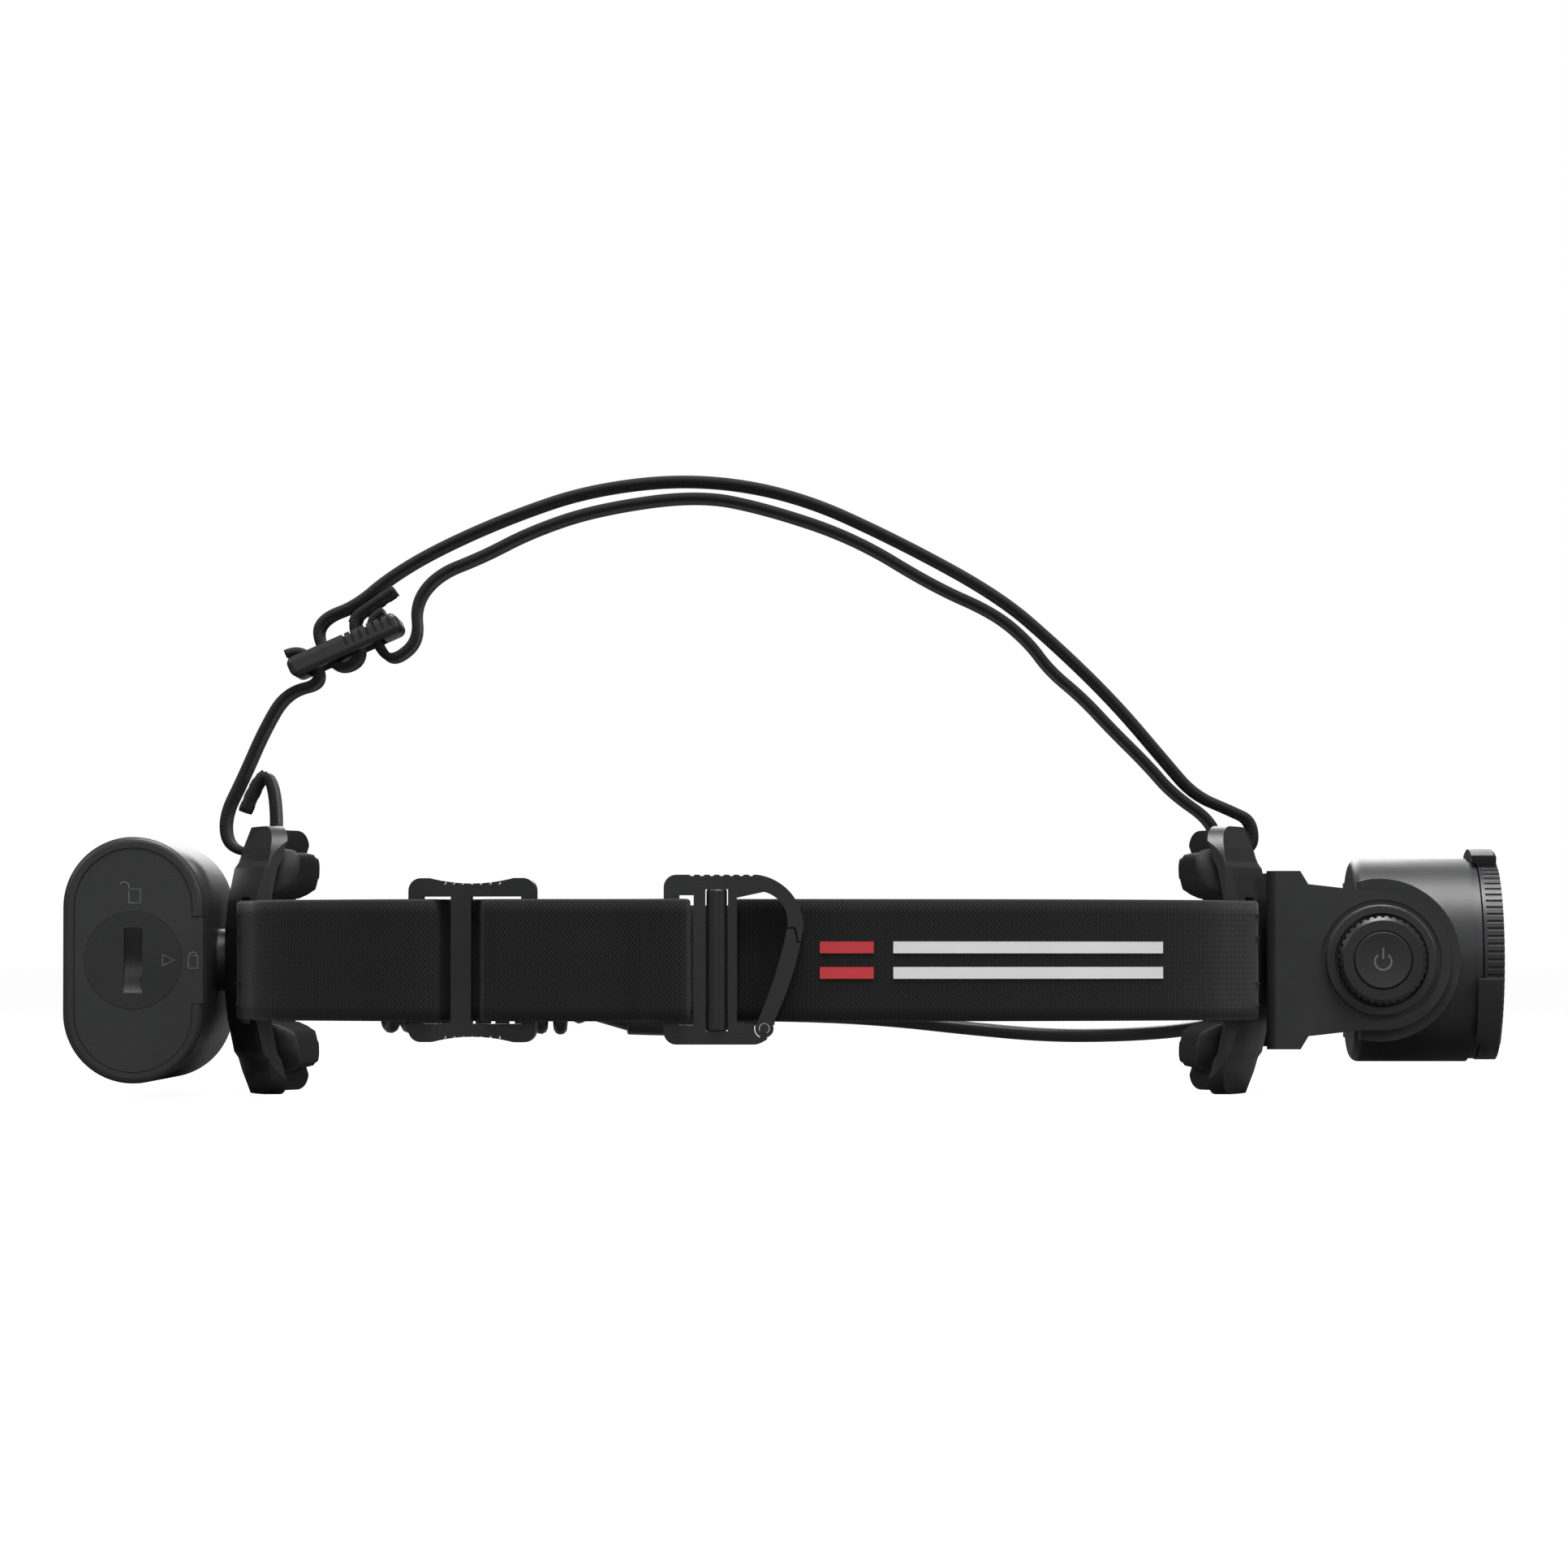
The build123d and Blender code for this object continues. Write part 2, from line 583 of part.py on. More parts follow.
def rear_stud():
    case_face = CASE_X + CASE_W / 2
    collar = rod_x(STUD_R, case_face, 1 - PLATE_X) - rod_z(PLATE_R, -20, 20, -HALF_PLATE)
    collar -= oval(0, -40, 40)
    return collar + rod_x(SHANK_R - 0.01, case_face - WALL, -PLATE_X + PLATE_T)


keep("battery_case", battery_case())
keep("battery_door", battery_door())
keep("coin_lock", coin_lock())
keep("lock_cam", lock_cam())
keep("door_seal", door_seal())
keep("cell_cradle", cell_cradle())
keep("cells", cells())
keep("contact_plate", contact_plate())
keep("contact_springs", contact_springs())
keep("charge_board", charge_board())
keep("lamp_gland", lamp_gland())
keep("case_gland", case_gland())
keep("rear_stud", rear_stud())


# ---------------------------------------------------------------- headband
BAND_Y = -75.6          # the near run's straight middle
BUCKLE_Y = -78.2        # middle of the hook buckle's thickness
BUCKLE_T = 2.6
ROLLER_X = -6.0
ROLLER_R = 2.1
LADDER_AT = (-56.0, -71.0)
LADDER_TURN = -9.5      # the ladder buckle follows the band's bend, in degrees
LADDER_T = 2.2
LADDER_L = 26.6
LADDER_H = 33.6
Z_UP = (0, 0, 1)


def plate_fold(side, flip=1):
    """The band's turn round a plate's end bar, from its inner end to where it leaves the plate."""
    inner = PLATE_R - PLATE_T
    half = BAND_T / 2
    points = [
        round_plate(34.5, inner - half + 0.45, side), round_plate(23.5, inner - half - 1.25, side),
        round_plate(23.5, PLATE_R + half + 0.85, side), round_plate(31.0, PLATE_R + half + 1.25, side),
    ]
    return [(flip * x, y, 0) for x, y in points]


def ladder_point(along, out):
    """A point on the ladder buckle: along the band towards the front, and out from the head."""
    turn = math.radians(LADDER_TURN)
    x = LADDER_AT[0] + along * math.cos(turn) + out * math.sin(turn)
    y = LADDER_AT[1] + along * math.sin(turn) - out * math.cos(turn)
    return (x, y, 0)


WEAVE = LADDER_T / 2 + BAND_T / 2 + 0.3


def band_front_points():
    points = plate_fold(-1)
    points += [(93.0, -54.5, 0), (64.0, -70.5, 0), (24.0, BAND_Y, 0), (-2.4, BAND_Y, 0)]
    points += [(-3.2, BAND_Y + 2.4, 0), (16.5, BAND_Y + 2.2, 0)]
    return points


def band_rear_points():
    points = plate_fold(-1, -1)
    points += [(-101.5, -51.0, 0), (-84.0, -64.0, 0), ladder_point(-18.0, WEAVE + 0.1)]
    points += [ladder_point(-9.2, WEAVE), ladder_point(-6.2, -WEAVE), ladder_point(1.8, -WEAVE)]
    points += [ladder_point(3.2, WEAVE), ladder_point(17.0, WEAVE + 0.1), (-29.0, BAND_Y + 0.1, 0)]
    clear = BUCKLE_T / 2 + BAND_T / 2 + 0.35
    points += [(-21.8, BAND_Y - 1.6, 0), (-18.2, BUCKLE_Y - clear, 0), (-12.1, BUCKLE_Y - clear, 0)]
    points += [(-12.1, BUCKLE_Y + clear, 0), (-18.0, BUCKLE_Y + clear + 0.2, 0), (-32.0, BAND_Y + 2.4, 0)]
    return points


def band_far_points():
    points = plate_fold(1)
    points += [(93.0, 54.5, 0), (62.0, 71.0, 0), (12.0, 76.2, 0), (-44.0, 74.8, 0), (-86.0, 61.5, 0)]
    return points + list(reversed(plate_fold(1, -1)))


def ladder_buckle():
    half_l, half_h = LADDER_L / 2, LADDER_H / 2
    frame = Box(LADDER_L, LADDER_T, LADDER_H)
    frame = fillet(frame.edges().filter_by(Axis.Y), 2.6)
    window_h = BAND_W + 1.0
    frame -= block(-half_l + 3.0, -4.4, -3, 3, -window_h / 2, window_h / 2)
    frame -= block(-0.2, half_l - 3.0, -3, 3, -window_h / 2, window_h / 2)
    for side in (-1, 1):
        frame -= Pos(0, 0, side * (half_h + 33.9)) * Rot(90, 0, 0) * Cylinder(35, 10)
        for i in range(-3, 4):
            frame -= Pos(i * 1.9, 0, side * (half_h - 1.0)) * Rot(90, 0, 0) * Cylinder(0.32, 10)
    return Pos(LADDER_AT[0], LADDER_AT[1], 0) * Rot(0, 0, LADDER_TURN) * frame


GATE_ROOT = (3.7, -13.9)        # axis of the hook's hinge, in X and Z
GATE_HUB_R = 1.9
GATE_PIN_R = 1.0
BAR_IN_X = -13.6                # right edge of the frame's left bar, which the rear band turns round
SLOT_END_X = -10.7              # the band's slot ends here and the roller's left cheek begins
CHEEK_X = -1.9                  # right edge of the roller's right cheek, where the D opening begins


def side_shape(lines, thick):
    """A closed outline in the X-Z plane, as a slab of a thickness about the buckle's middle."""
    face = make_face(lines)
    return extrude(Plane.XZ.offset(-BUCKLE_Y) * face, thick / 2, both=True)


def hook_solid():
    outer = Line((-16.8, -17.2), (1.8, -17.2)) + ThreePointArc((1.8, -17.2), (4.7, -15.6), (5.8, -12.2))
    outer += ThreePointArc((5.8, -12.2), (9.4, -3.0), (11.7, 6.8)) + ThreePointArc((11.7, 6.8), (8.9, 13.9), (2.2, 17.4))
    outer += Line((2.2, 17.4), (-16.8, 17.4)) + Line((-16.8, 17.4), (-16.8, -17.2))
    body = side_shape(outer, BUCKLE_T)
    body = fillet(body.edges().filter_by(Axis.Y).group_by(Axis.X)[0], 2.6)
    low, high = BUCKLE_Y - 5, BUCKLE_Y + 5
    half = BAND_W / 2 + 0.7
    body -= block(BAR_IN_X, SLOT_END_X, low, high, -half, half)
    reach = ROLLER_R + 0.2
    body -= block(ROLLER_X - reach, ROLLER_X + reach, low, high, -half - 1.2, half + 1.2)
    inner = Line((CHEEK_X, -12.8), (2.4, -12.2)) + ThreePointArc((2.4, -12.2), (5.9, -3.0), (8.3, 6.5))
    inner += ThreePointArc((8.3, 6.5), (7.3, 11.4), (3.6, 13.9)) + Line((3.6, 13.9), (CHEEK_X, 12.7))
    inner += Line((CHEEK_X, 12.7), (CHEEK_X, -12.8))
    body -= side_shape(inner, 10)
    for i in range(7):
        body -= Pos(-11 + i * 2, BUCKLE_Y, 17.7) * Rot(90, 0, 0) * Cylinder(0.6, 10)
    return body


def gate_zone():
    """The part of the hook's arc that springs inwards, from its root up to the split line."""
    zone = Polyline(
        (3.0, -13.2), (14.0, -13.2), (14.0, 3.5), (10.4, 3.5), (9.8, 6.4), (4.0, 6.4), (0.0, -12.2), (2.4, -12.3),
        (3.0, -13.2),
    )
    return side_shape(zone, 12)


def gate_room():
    """The gate's zone with its play, which the frame leaves free."""
    zone = Polyline(
        (2.6, -13.6), (14.5, -13.6), (14.5, 3.8), (10.65, 3.8), (10.05, 6.7), (3.5, 6.7), (-0.5, -12.85),
        (2.0, -13.0), (2.6, -13.6),
    )
    return side_shape(zone, 12)


def gate_rod(radius, half):
    return rod_y(radius, BUCKLE_Y - half, BUCKLE_Y + half, GATE_ROOT[0], GATE_ROOT[1])


def hook_frame():
    frame = hook_solid() - gate_room() - gate_rod(GATE_HUB_R + GAP / 2, 4)
    root = block(2.8, 4.2, BUCKLE_Y - 0.6, BUCKLE_Y + 0.6, -16.3, GATE_ROOT[1])
    return frame + gate_rod(GATE_PIN_R, BUCKLE_T / 2) + root


def hook_gate():
    gate = (hook_solid() & gate_zone()) + gate_rod(GATE_HUB_R, BUCKLE_T / 2)
    gate -= gate_rod(GATE_PIN_R + RUN, 3)
    return gate - block(1.5, 5.5, BUCKLE_Y - 0.75, BUCKLE_Y + 0.75, -18, GATE_ROOT[1] + 0.3)


def buckle_roller():
    half = BAND_W / 2 + 1.9
    roller = rod_z(ROLLER_R, -half, half, ROLLER_X, BUCKLE_Y)
    return fillet(roller.edges(), 0.4)


keep("band_front", ribbon(band_front_points(), BAND_W, BAND_T, Z_UP))
keep("band_rear", ribbon(band_rear_points(), BAND_W, BAND_T, Z_UP))
keep("band_far", ribbon(band_far_points(), BAND_W, BAND_T, Z_UP))
keep("ladder_buckle", ladder_buckle())
keep("hook_frame", hook_frame())
keep("hook_gate", hook_gate())
keep("buckle_roller", buckle_roller())


# ---------------------------------------------------------------- strap over the head
SLIDER_AT = (-86.75, 67.6)
SLIDER_TURN = 24.0
SLIDER_L = 25.7
SLIDER_T = 4.4
SLIDER_W = 22.0
Y_LEFT = (0, 1, 0)


def slider_point(along, up):
    """A point on the strap slider, along its length and up from its middle."""
    turn = math.radians(SLIDER_TURN)
    x = SLIDER_AT[0] + along * math.cos(turn) - up * math.sin(turn)
    z = SLIDER_AT[1] + along * math.sin(turn) + up * math.cos(turn)
    return (x, 0, z)


def over(points):
    return [(x, 0, z) for x, z in points]


def top_strap_points():
    points = [slider_point(14.6, 6.9), slider_point(9.0, 5.9), slider_point(3.2, 4.8), slider_point(2.6, -4.1)]
    points += [slider_point(-4.4, -4.1), slider_point(-5.0, 4.8), slider_point(-1.6, 7.6)]
    points += over((
        (-84.5, 76.4), (-77.5, 82.4), (-67.5, 88.4), (-52.0, 95.4), (-34.0, 101.6), (-11.5, 104.0), (10.5, 100.4),
        (32.0, 90.6), (54.0, 78.6), (66.5, 67.8), (79.0, 55.6), (90.0, 42.6), (96.0, 35.6), (104.0, 32.2),
        (108.6, 30.0), (108.8, 23.2), (101.2, 23.2), (100.2, 29.8),
        (91.5, 35.8), (86.0, 42.2), (78.5, 49.6), (72.0, 56.6), (65.0, 62.4), (60.5, 68.6), (53.0, 74.9), (40.0, 80.6),
        (23.0, 91.0), (4.0, 97.4), (-11.0, 100.4), (-33.0, 97.2), (-47.0, 92.4), (-57.5, 86.9), (-67.0, 83.2),
        (-71.9, 76.9), (-71.0, 69.0), (-76.0, 64.6),
    ))
    points += [slider_point(6.4, -4.6), slider_point(6.6, 3.5), slider_point(10.6, 3.5)]
    return points


def rear_strap_points():
    points = [slider_point(-12.4, 3.5), slider_point(-7.9, 3.5), slider_point(-7.2, -5.4)]
    return points + over((
        (-99.6, 57.8), (-104.4, 49.6), (-108.8, 39.4), (-113.2, 30.4), (-111.6, 23.2), (-101.6, 23.2),
        (-102.0, 37.4), (-105.0, 41.2), (-108.6, 31.8),
    ))


def strap_slider():
    frame = Box(SLIDER_L, SLIDER_W, SLIDER_T)
    frame = fillet(frame.edges().filter_by(Axis.Y), 1.6)
    frame = fillet(frame.edges().filter_by(Axis.Z), 1.2)
    room = STRAP_W / 2 + 0.6
    half = SLIDER_L / 2
    frame -= block(-9.8, -2.9, -room, room, -5, 5)
    frame -= block(1.0, 8.2, -room, room, -5, 5)
    for i in range(7):
        x = 0.4 + i * 1.7
        frame -= block(x, x + 0.6, -half, half, SLIDER_T / 2 - 0.6, SLIDER_T)
        for side in (-1, 1):
            edge = side * SLIDER_W / 2
            frame -= block(x, x + 0.6, min(edge, edge - side * 0.7), max(edge, edge - side * 0.7), -0.4, SLIDER_T)
    return Pos(SLIDER_AT[0], 0, SLIDER_AT[1]) * Rot(0, -SLIDER_TURN, 0) * frame


# ---------------------------------------------------------------- cable on the far side
LINK_START = (2.0, 85.4, -12.5)         # front end of the connector
LINK_END = (-36.0, 85.4, -11.4)         # rear end, where the curly lead begins


def lead_front_points():
    return [
        GLAND_TIP, (112.2, 31.6, -8.6), (111.4, 36.4, -10.6), (107.2, 46.0, -13.4), (97.8, 59.6, -15.8),
        (84.0, 70.6, -17.0), (68.0, 77.8, -17.2), (50.0, 82.4, -15.6), (32.0, 84.8, -13.6), (14.0, 85.5, -12.6),
        LINK_START,
    ]


def curly_points():
    return [LINK_END, (-56.0, 82.4, -10.6), (-74.0, 75.0, -10.6), (-88.0, 67.6, -10.6)]


def lead_rear_points():
    return [
        (-88.0, 67.6, -10.6), (-94.0, 64.4, -10.6), (-101.0, 61.2, -10.6), (-109.0, 59.6, -10.2),
        (-116.6, 56.8, -9.2), (-121.8, 51.4, -8.2), (-123.0, 46.2, -8.0), CABLE_EXIT,
    ]


def connector(start, end, radius):
    """One half of the cable's connector, from its joint face to the tail that grips the lead."""
    axis = Vector(*end) - Vector(*start)
    plane = Plane(origin=start, z_dir=axis)
    length = axis.length
    body_l = length * 0.58
    body = plane * Pos(0, 0, body_l / 2) * Cylinder(radius, body_l)
    body = fillet(body.edges().group_by(SortBy.LENGTH)[-1], 0.5)
    tail = plane * Pos(0, 0, (body_l + length) / 2) * Cone(radius - 0.9, CABLE_D / 2 + 0.8, length - body_l)
    return body + tail


def connector_plug():
    middle = [(a + b) / 2 for a, b in zip(LINK_START, LINK_END)]
    return connector(middle, LINK_START, LINK_D / 2)


def connector_socket():
    middle = [(a + b) / 2 for a, b in zip(LINK_START, LINK_END)]
    return connector(middle, LINK_END, LINK_D / 2 + 0.6)


keep("top_strap", ribbon(top_strap_points(), STRAP_W, STRAP_T, Y_LEFT))
keep("rear_strap", ribbon(rear_strap_points(), STRAP_W, STRAP_T, Y_LEFT))
keep("strap_slider", strap_slider())
keep("lead_front", tube("lead_front", lead_front_points(), CABLE_D))
keep("curly_lead", tube("curly_lead", curly_points(), COIL_D))
keep("lead_rear", tube("lead_rear", lead_rear_points(), CABLE_D))
keep("connector_plug", connector_plug())
keep("connector_socket", connector_socket())


os.makedirs("parts", exist_ok=True)
for name, shape in PARTS.items():
    export_step(shape, f"parts/{name}.step")
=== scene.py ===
# %% [markdown]
# A headlamp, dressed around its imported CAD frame.
# The hard parts keep their CAD shape and get their finish here. The woven bands, the pads and the cable
# are made here, because a plain solid doesn't look like cloth, foam or a coiled lead.

# %% Load the frame
import bpy
import bmesh
import math
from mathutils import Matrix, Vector


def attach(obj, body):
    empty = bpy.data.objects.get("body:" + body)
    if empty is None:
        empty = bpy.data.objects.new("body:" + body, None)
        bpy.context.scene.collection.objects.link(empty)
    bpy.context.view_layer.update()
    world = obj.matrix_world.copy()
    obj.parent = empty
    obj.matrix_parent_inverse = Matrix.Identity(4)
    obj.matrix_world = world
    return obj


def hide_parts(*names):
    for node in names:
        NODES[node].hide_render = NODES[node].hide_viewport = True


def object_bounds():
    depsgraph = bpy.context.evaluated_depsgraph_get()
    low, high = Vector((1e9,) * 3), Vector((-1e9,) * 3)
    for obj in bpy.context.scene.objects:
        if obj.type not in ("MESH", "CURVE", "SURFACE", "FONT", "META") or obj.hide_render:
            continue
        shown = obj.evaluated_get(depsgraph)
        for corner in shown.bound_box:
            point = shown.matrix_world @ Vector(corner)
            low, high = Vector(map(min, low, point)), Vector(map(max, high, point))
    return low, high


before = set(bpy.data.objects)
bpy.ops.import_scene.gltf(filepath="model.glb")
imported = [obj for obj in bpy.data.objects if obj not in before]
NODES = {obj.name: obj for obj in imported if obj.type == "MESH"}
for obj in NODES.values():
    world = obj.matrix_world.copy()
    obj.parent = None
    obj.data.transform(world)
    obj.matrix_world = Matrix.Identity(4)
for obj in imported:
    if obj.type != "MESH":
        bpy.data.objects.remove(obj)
CAD_BOX = [list(map(float, corner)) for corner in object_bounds()]
MM = 0.001
print("nodes", len(NODES), "box", CAD_BOX)

# %% [markdown]
# The camera looks at the wearer's right side, level with the band and 1.4 m away, with a long lens, so the
# near and far sides of the loop nearly line up. It is aimed a little high, to put the strap's arch in the
# middle. Black plastic only shows its shape by what it reflects, so five soft area lights do the lighting,
# the strongest from above. The sky and floor look white to the camera, but give the object very little
# light, or it would turn grey.

# %% Camera, floor and lights
EYE = Vector((0.0077, -1.400, 0.0))
LOOK_AT = Vector((0.0077, 0.0, 0.038))
LENS = 149.0
FLOOR_Z = CAD_BOX[0][2] - 0.0006
FLOOR_GLOW = 0.97    # the floor's own light to the camera, so that it meets the sky without a line


def add_camera():
    data = bpy.data.cameras.new("side_camera")
    data.lens = LENS
    data.clip_end = 60
    camera = bpy.data.objects.new("side_camera", data)
    camera.location = EYE
    camera.rotation_euler = (LOOK_AT - EYE).to_track_quat("-Z", "Y").to_euler()
    bpy.context.collection.objects.link(camera)
    bpy.context.scene.camera = camera


def add_area(name, place, size, watts):
    data = bpy.data.lights.new(name, "AREA")
    data.size = size
    data.energy = watts
    lamp = bpy.data.objects.new(name, data)
    lamp.location = place
    lamp.rotation_euler = (Vector((0, 0, 0.03)) - Vector(place)).to_track_quat("-Z", "Y").to_euler()
    bpy.context.collection.objects.link(lamp)


def seen_or_lit(tree, lit, seen, out):
    """Shows one shader to the camera and another to all other rays, so a pale backdrop keeps black dark."""
    sight = tree.nodes.new("ShaderNodeLightPath")
    mix = tree.nodes.new("ShaderNodeMixShader")
    tree.links.new(sight.outputs["Is Camera Ray"], mix.inputs[0])
    tree.links.new(lit, mix.inputs[1])
    tree.links.new(seen, mix.inputs[2])
    tree.links.new(mix.outputs[0], out.inputs["Surface"])


def add_sky(lit_strength, seen_strength):
    world = bpy.data.worlds.new("pale_room")
    world.use_nodes = True
    tree = world.node_tree
    lit = tree.nodes["Background"]
    seen = tree.nodes.new("ShaderNodeBackground")
    for background, strength in ((lit, lit_strength), (seen, seen_strength)):
        background.inputs["Color"].default_value = (1, 1, 1, 1)
        background.inputs["Strength"].default_value = strength
    seen_or_lit(tree, lit.outputs[0], seen.outputs[0], tree.nodes["World Output"])
    bpy.context.scene.world = world


def add_floor():
    mesh = bpy.data.meshes.new("floor")
    half = 20
    corners = [(-half, -half, FLOOR_Z), (half, -half, FLOOR_Z), (half, half, FLOOR_Z), (-half, half, FLOOR_Z)]
    mesh.from_pydata(corners, [], [(0, 1, 2, 3)])
    floor = bpy.data.objects.new("floor", mesh)
    bpy.context.collection.objects.link(floor)
    paint = bpy.data.materials.new("pale_floor")
    paint.use_nodes = True
    shader = paint.node_tree.nodes["Principled BSDF"]
    shader.inputs["Base Color"].default_value = (0.16, 0.16, 0.16, 1)
    shader.inputs["Roughness"].default_value = 0.95
    shader.inputs["Specular IOR Level"].default_value = 0.0
    tree = paint.node_tree
    glow = tree.nodes.new("ShaderNodeEmission")
    glow.inputs["Strength"].default_value = FLOOR_GLOW
    both = tree.nodes.new("ShaderNodeAddShader")
    tree.links.new(shader.outputs[0], both.inputs[0])
    tree.links.new(glow.outputs[0], both.inputs[1])
    seen_or_lit(tree, shader.outputs[0], both.outputs[0], tree.nodes["Material Output"])
    mesh.materials.append(paint)


add_camera()
bpy.context.scene.view_settings.view_transform = "Standard"
add_sky(0.07, 1.0)
add_floor()
add_area("top_soft", (0.10, -0.18, 0.95), 0.5, 17)
add_area("front_soft", (0.85, -0.60, 0.45), 0.30, 3.0)
add_area("rear_soft", (-0.8, -0.4, 0.5), 0.30, 2.4)
add_area("near_soft", (-0.1, -1.3, 0.5), 0.45, 2.6)
add_area("far_soft", (0.0, 0.9, 0.5), 0.5, 6)

# %% [markdown]
# Moulded plastic isn't flat. Its tool leaves a fine grain, and handling polishes it unevenly. One node
# group makes both from Object coordinates, and every finish but the cloth and the clear plastic calls it
# with its own sizes. The group hands out only patterns; each shader's own sockets keep the plain numbers.

# %% Shared group: moulded grain
def make_group(name, inputs, outputs):
    tree = bpy.data.node_groups.new(name, "ShaderNodeTree")
    for label, value in inputs:
        socket = tree.interface.new_socket(name=label, in_out="INPUT", socket_type="NodeSocketFloat")
        socket.default_value = value
    for label, kind in outputs:
        tree.interface.new_socket(name=label, in_out="OUTPUT", socket_type=kind)
    return tree, tree.nodes.new("NodeGroupInput"), tree.nodes.new("NodeGroupOutput")


def math_node(tree, operation, first, second):
    node = tree.nodes.new("ShaderNodeMath")
    node.operation = operation
    for socket, value in zip(node.inputs, (first, second)):
        if isinstance(value, (int, float)):
            socket.default_value = value
        else:
            tree.links.new(value, socket)
    return node.outputs[0]


def noise_node(tree, vector, scale, detail=2.0):
    node = tree.nodes.new("ShaderNodeTexNoise")
    node.inputs["Detail"].default_value = detail
    tree.links.new(vector, node.inputs["Vector"])
    if isinstance(scale, (int, float)):
        node.inputs["Scale"].default_value = scale
    else:
        tree.links.new(scale, node.inputs["Scale"])
    return node.outputs["Fac"]


def moulded_grain():
    tree, inside, out = make_group(
        "moulded_grain", [("Grain Scale", 2600.0), ("Roughness Low", 0.4), ("Roughness High", 0.55)],
        [("Height", "NodeSocketFloat"), ("Roughness", "NodeSocketFloat"), ("Handled", "NodeSocketFloat")])
    place = tree.nodes.new("ShaderNodeTexCoord").outputs["Object"]
    grain = noise_node(tree, place, inside.outputs["Grain Scale"], 3.0)
    handled = noise_node(tree, place, 55.0, 4.0)
    span = math_node(tree, "SUBTRACT", inside.outputs["Roughness High"], inside.outputs["Roughness Low"])
    extra = math_node(tree, "MULTIPLY", handled, span)
    rough = math_node(tree, "ADD", inside.outputs["Roughness Low"], extra)
    tree.links.new(grain, out.inputs["Height"])
    tree.links.new(rough, out.inputs["Roughness"])
    tree.links.new(handled, out.inputs["Handled"])
    return tree


GRAIN = moulded_grain()


def plain_material(name):
    material = bpy.data.materials.new(name)
    material.use_nodes = True
    tree = material.node_tree
    return material, tree, tree.nodes["Principled BSDF"]


def blend_colours(tree, mask, dark, light, target):
    mix = tree.nodes.new("ShaderNodeMix")
    mix.data_type = "RGBA"
    mix.inputs["A"].default_value = (*dark, 1)
    mix.inputs["B"].default_value = (*light, 1)
    tree.links.new(mask, mix.inputs["Factor"])
    tree.links.new(mix.outputs["Result"], target)


def bump(tree, height, distance, shader, strength=1.0):
    node = tree.nodes.new("ShaderNodeBump")
    node.inputs["Distance"].default_value = distance
    node.inputs["Strength"].default_value = strength
    tree.links.new(height, node.inputs["Height"])
    tree.links.new(node.outputs["Normal"], shader.inputs["Normal"])


def moulded(name, dark, light, low, high, grain=2600.0, depth=0.00004, metallic=0.0):
    material, tree, shader = plain_material(name)
    group = tree.nodes.new("ShaderNodeGroup")
    group.node_tree = GRAIN
    group.inputs["Grain Scale"].default_value = grain
    group.inputs["Roughness Low"].default_value = low
    group.inputs["Roughness High"].default_value = high
    shader.inputs["Metallic"].default_value = metallic
    shader.inputs["Specular IOR Level"].default_value = 0.4
    tree.links.new(group.outputs["Roughness"], shader.inputs["Roughness"])
    blend_colours(tree, group.outputs["Handled"], dark, light, shader.inputs["Base Color"])
    bump(tree, group.outputs["Height"], depth, shader, 0.5)
    return material


FINISH = {
    "shell": moulded("satin_black_shell", (0.019, 0.0195, 0.021), (0.027, 0.0275, 0.029), 0.36, 0.50),
    "trim": moulded("satin_black_trim", (0.015, 0.0155, 0.017), (0.022, 0.0225, 0.024), 0.30, 0.46),
    "door": moulded("door_black", (0.021, 0.0215, 0.023), (0.028, 0.0285, 0.030), 0.42, 0.56, 3200.0),
    "rubber": moulded("soft_black_rubber", (0.014, 0.014, 0.015), (0.020, 0.020, 0.021), 0.55, 0.72, 1800.0),
    "foam": moulded("pad_skin", (0.010, 0.010, 0.011), (0.017, 0.017, 0.018), 0.70, 0.88, 900.0, 0.00012),
    "sheath": moulded("cable_sheath", (0.012, 0.012, 0.013), (0.017, 0.017, 0.018), 0.34, 0.48, 1500.0),
    "board": moulded("board_green", (0.010, 0.060, 0.028), (0.016, 0.090, 0.040), 0.25, 0.40),
    "alloy": moulded("bare_alloy", (0.52, 0.53, 0.55), (0.66, 0.67, 0.69), 0.25, 0.42, 1500.0, 0.00002, 1.0),
    "plated": moulded("plated_steel", (0.55, 0.54, 0.50), (0.66, 0.65, 0.60), 0.18, 0.30, 900.0, 0.00001,
                      1.0),
    "cell": moulded("cell_wrap", (0.05, 0.09, 0.18), (0.07, 0.12, 0.23), 0.22, 0.32),
    "phosphor": moulded("led_phosphor", (0.75, 0.55, 0.06), (0.85, 0.66, 0.12), 0.22, 0.30),
    "reflective": moulded("reflective_print", (0.74, 0.75, 0.76), (0.86, 0.87, 0.88), 0.30, 0.45, 3600.0),
    "red": moulded("red_print", (0.52, 0.035, 0.045), (0.66, 0.05, 0.06), 0.35, 0.5, 3600.0),
    "print": moulded("grey_print", (0.105, 0.107, 0.110), (0.13, 0.132, 0.135), 0.45, 0.6),
}
print("finishes", len(FINISH))

# %% [markdown]
# Lens and window are clear plastic: full transmission and almost no roughness, with a faint smear in it.

# %% Clear plastic, and which finish each CAD piece takes
def clear_plastic():
    material, tree, shader = plain_material("clear_plastic")
    shader.inputs["Base Color"].default_value = (0.93, 0.95, 0.97, 1)
    shader.inputs["Transmission Weight"].default_value = 1.0
    shader.inputs["IOR"].default_value = 1.49
    place = tree.nodes.new("ShaderNodeTexCoord").outputs["Object"]
    smear = math_node(tree, "MULTIPLY", noise_node(tree, place, 120.0, 3.0), 0.06)
    tree.links.new(smear, shader.inputs["Roughness"])
    return material


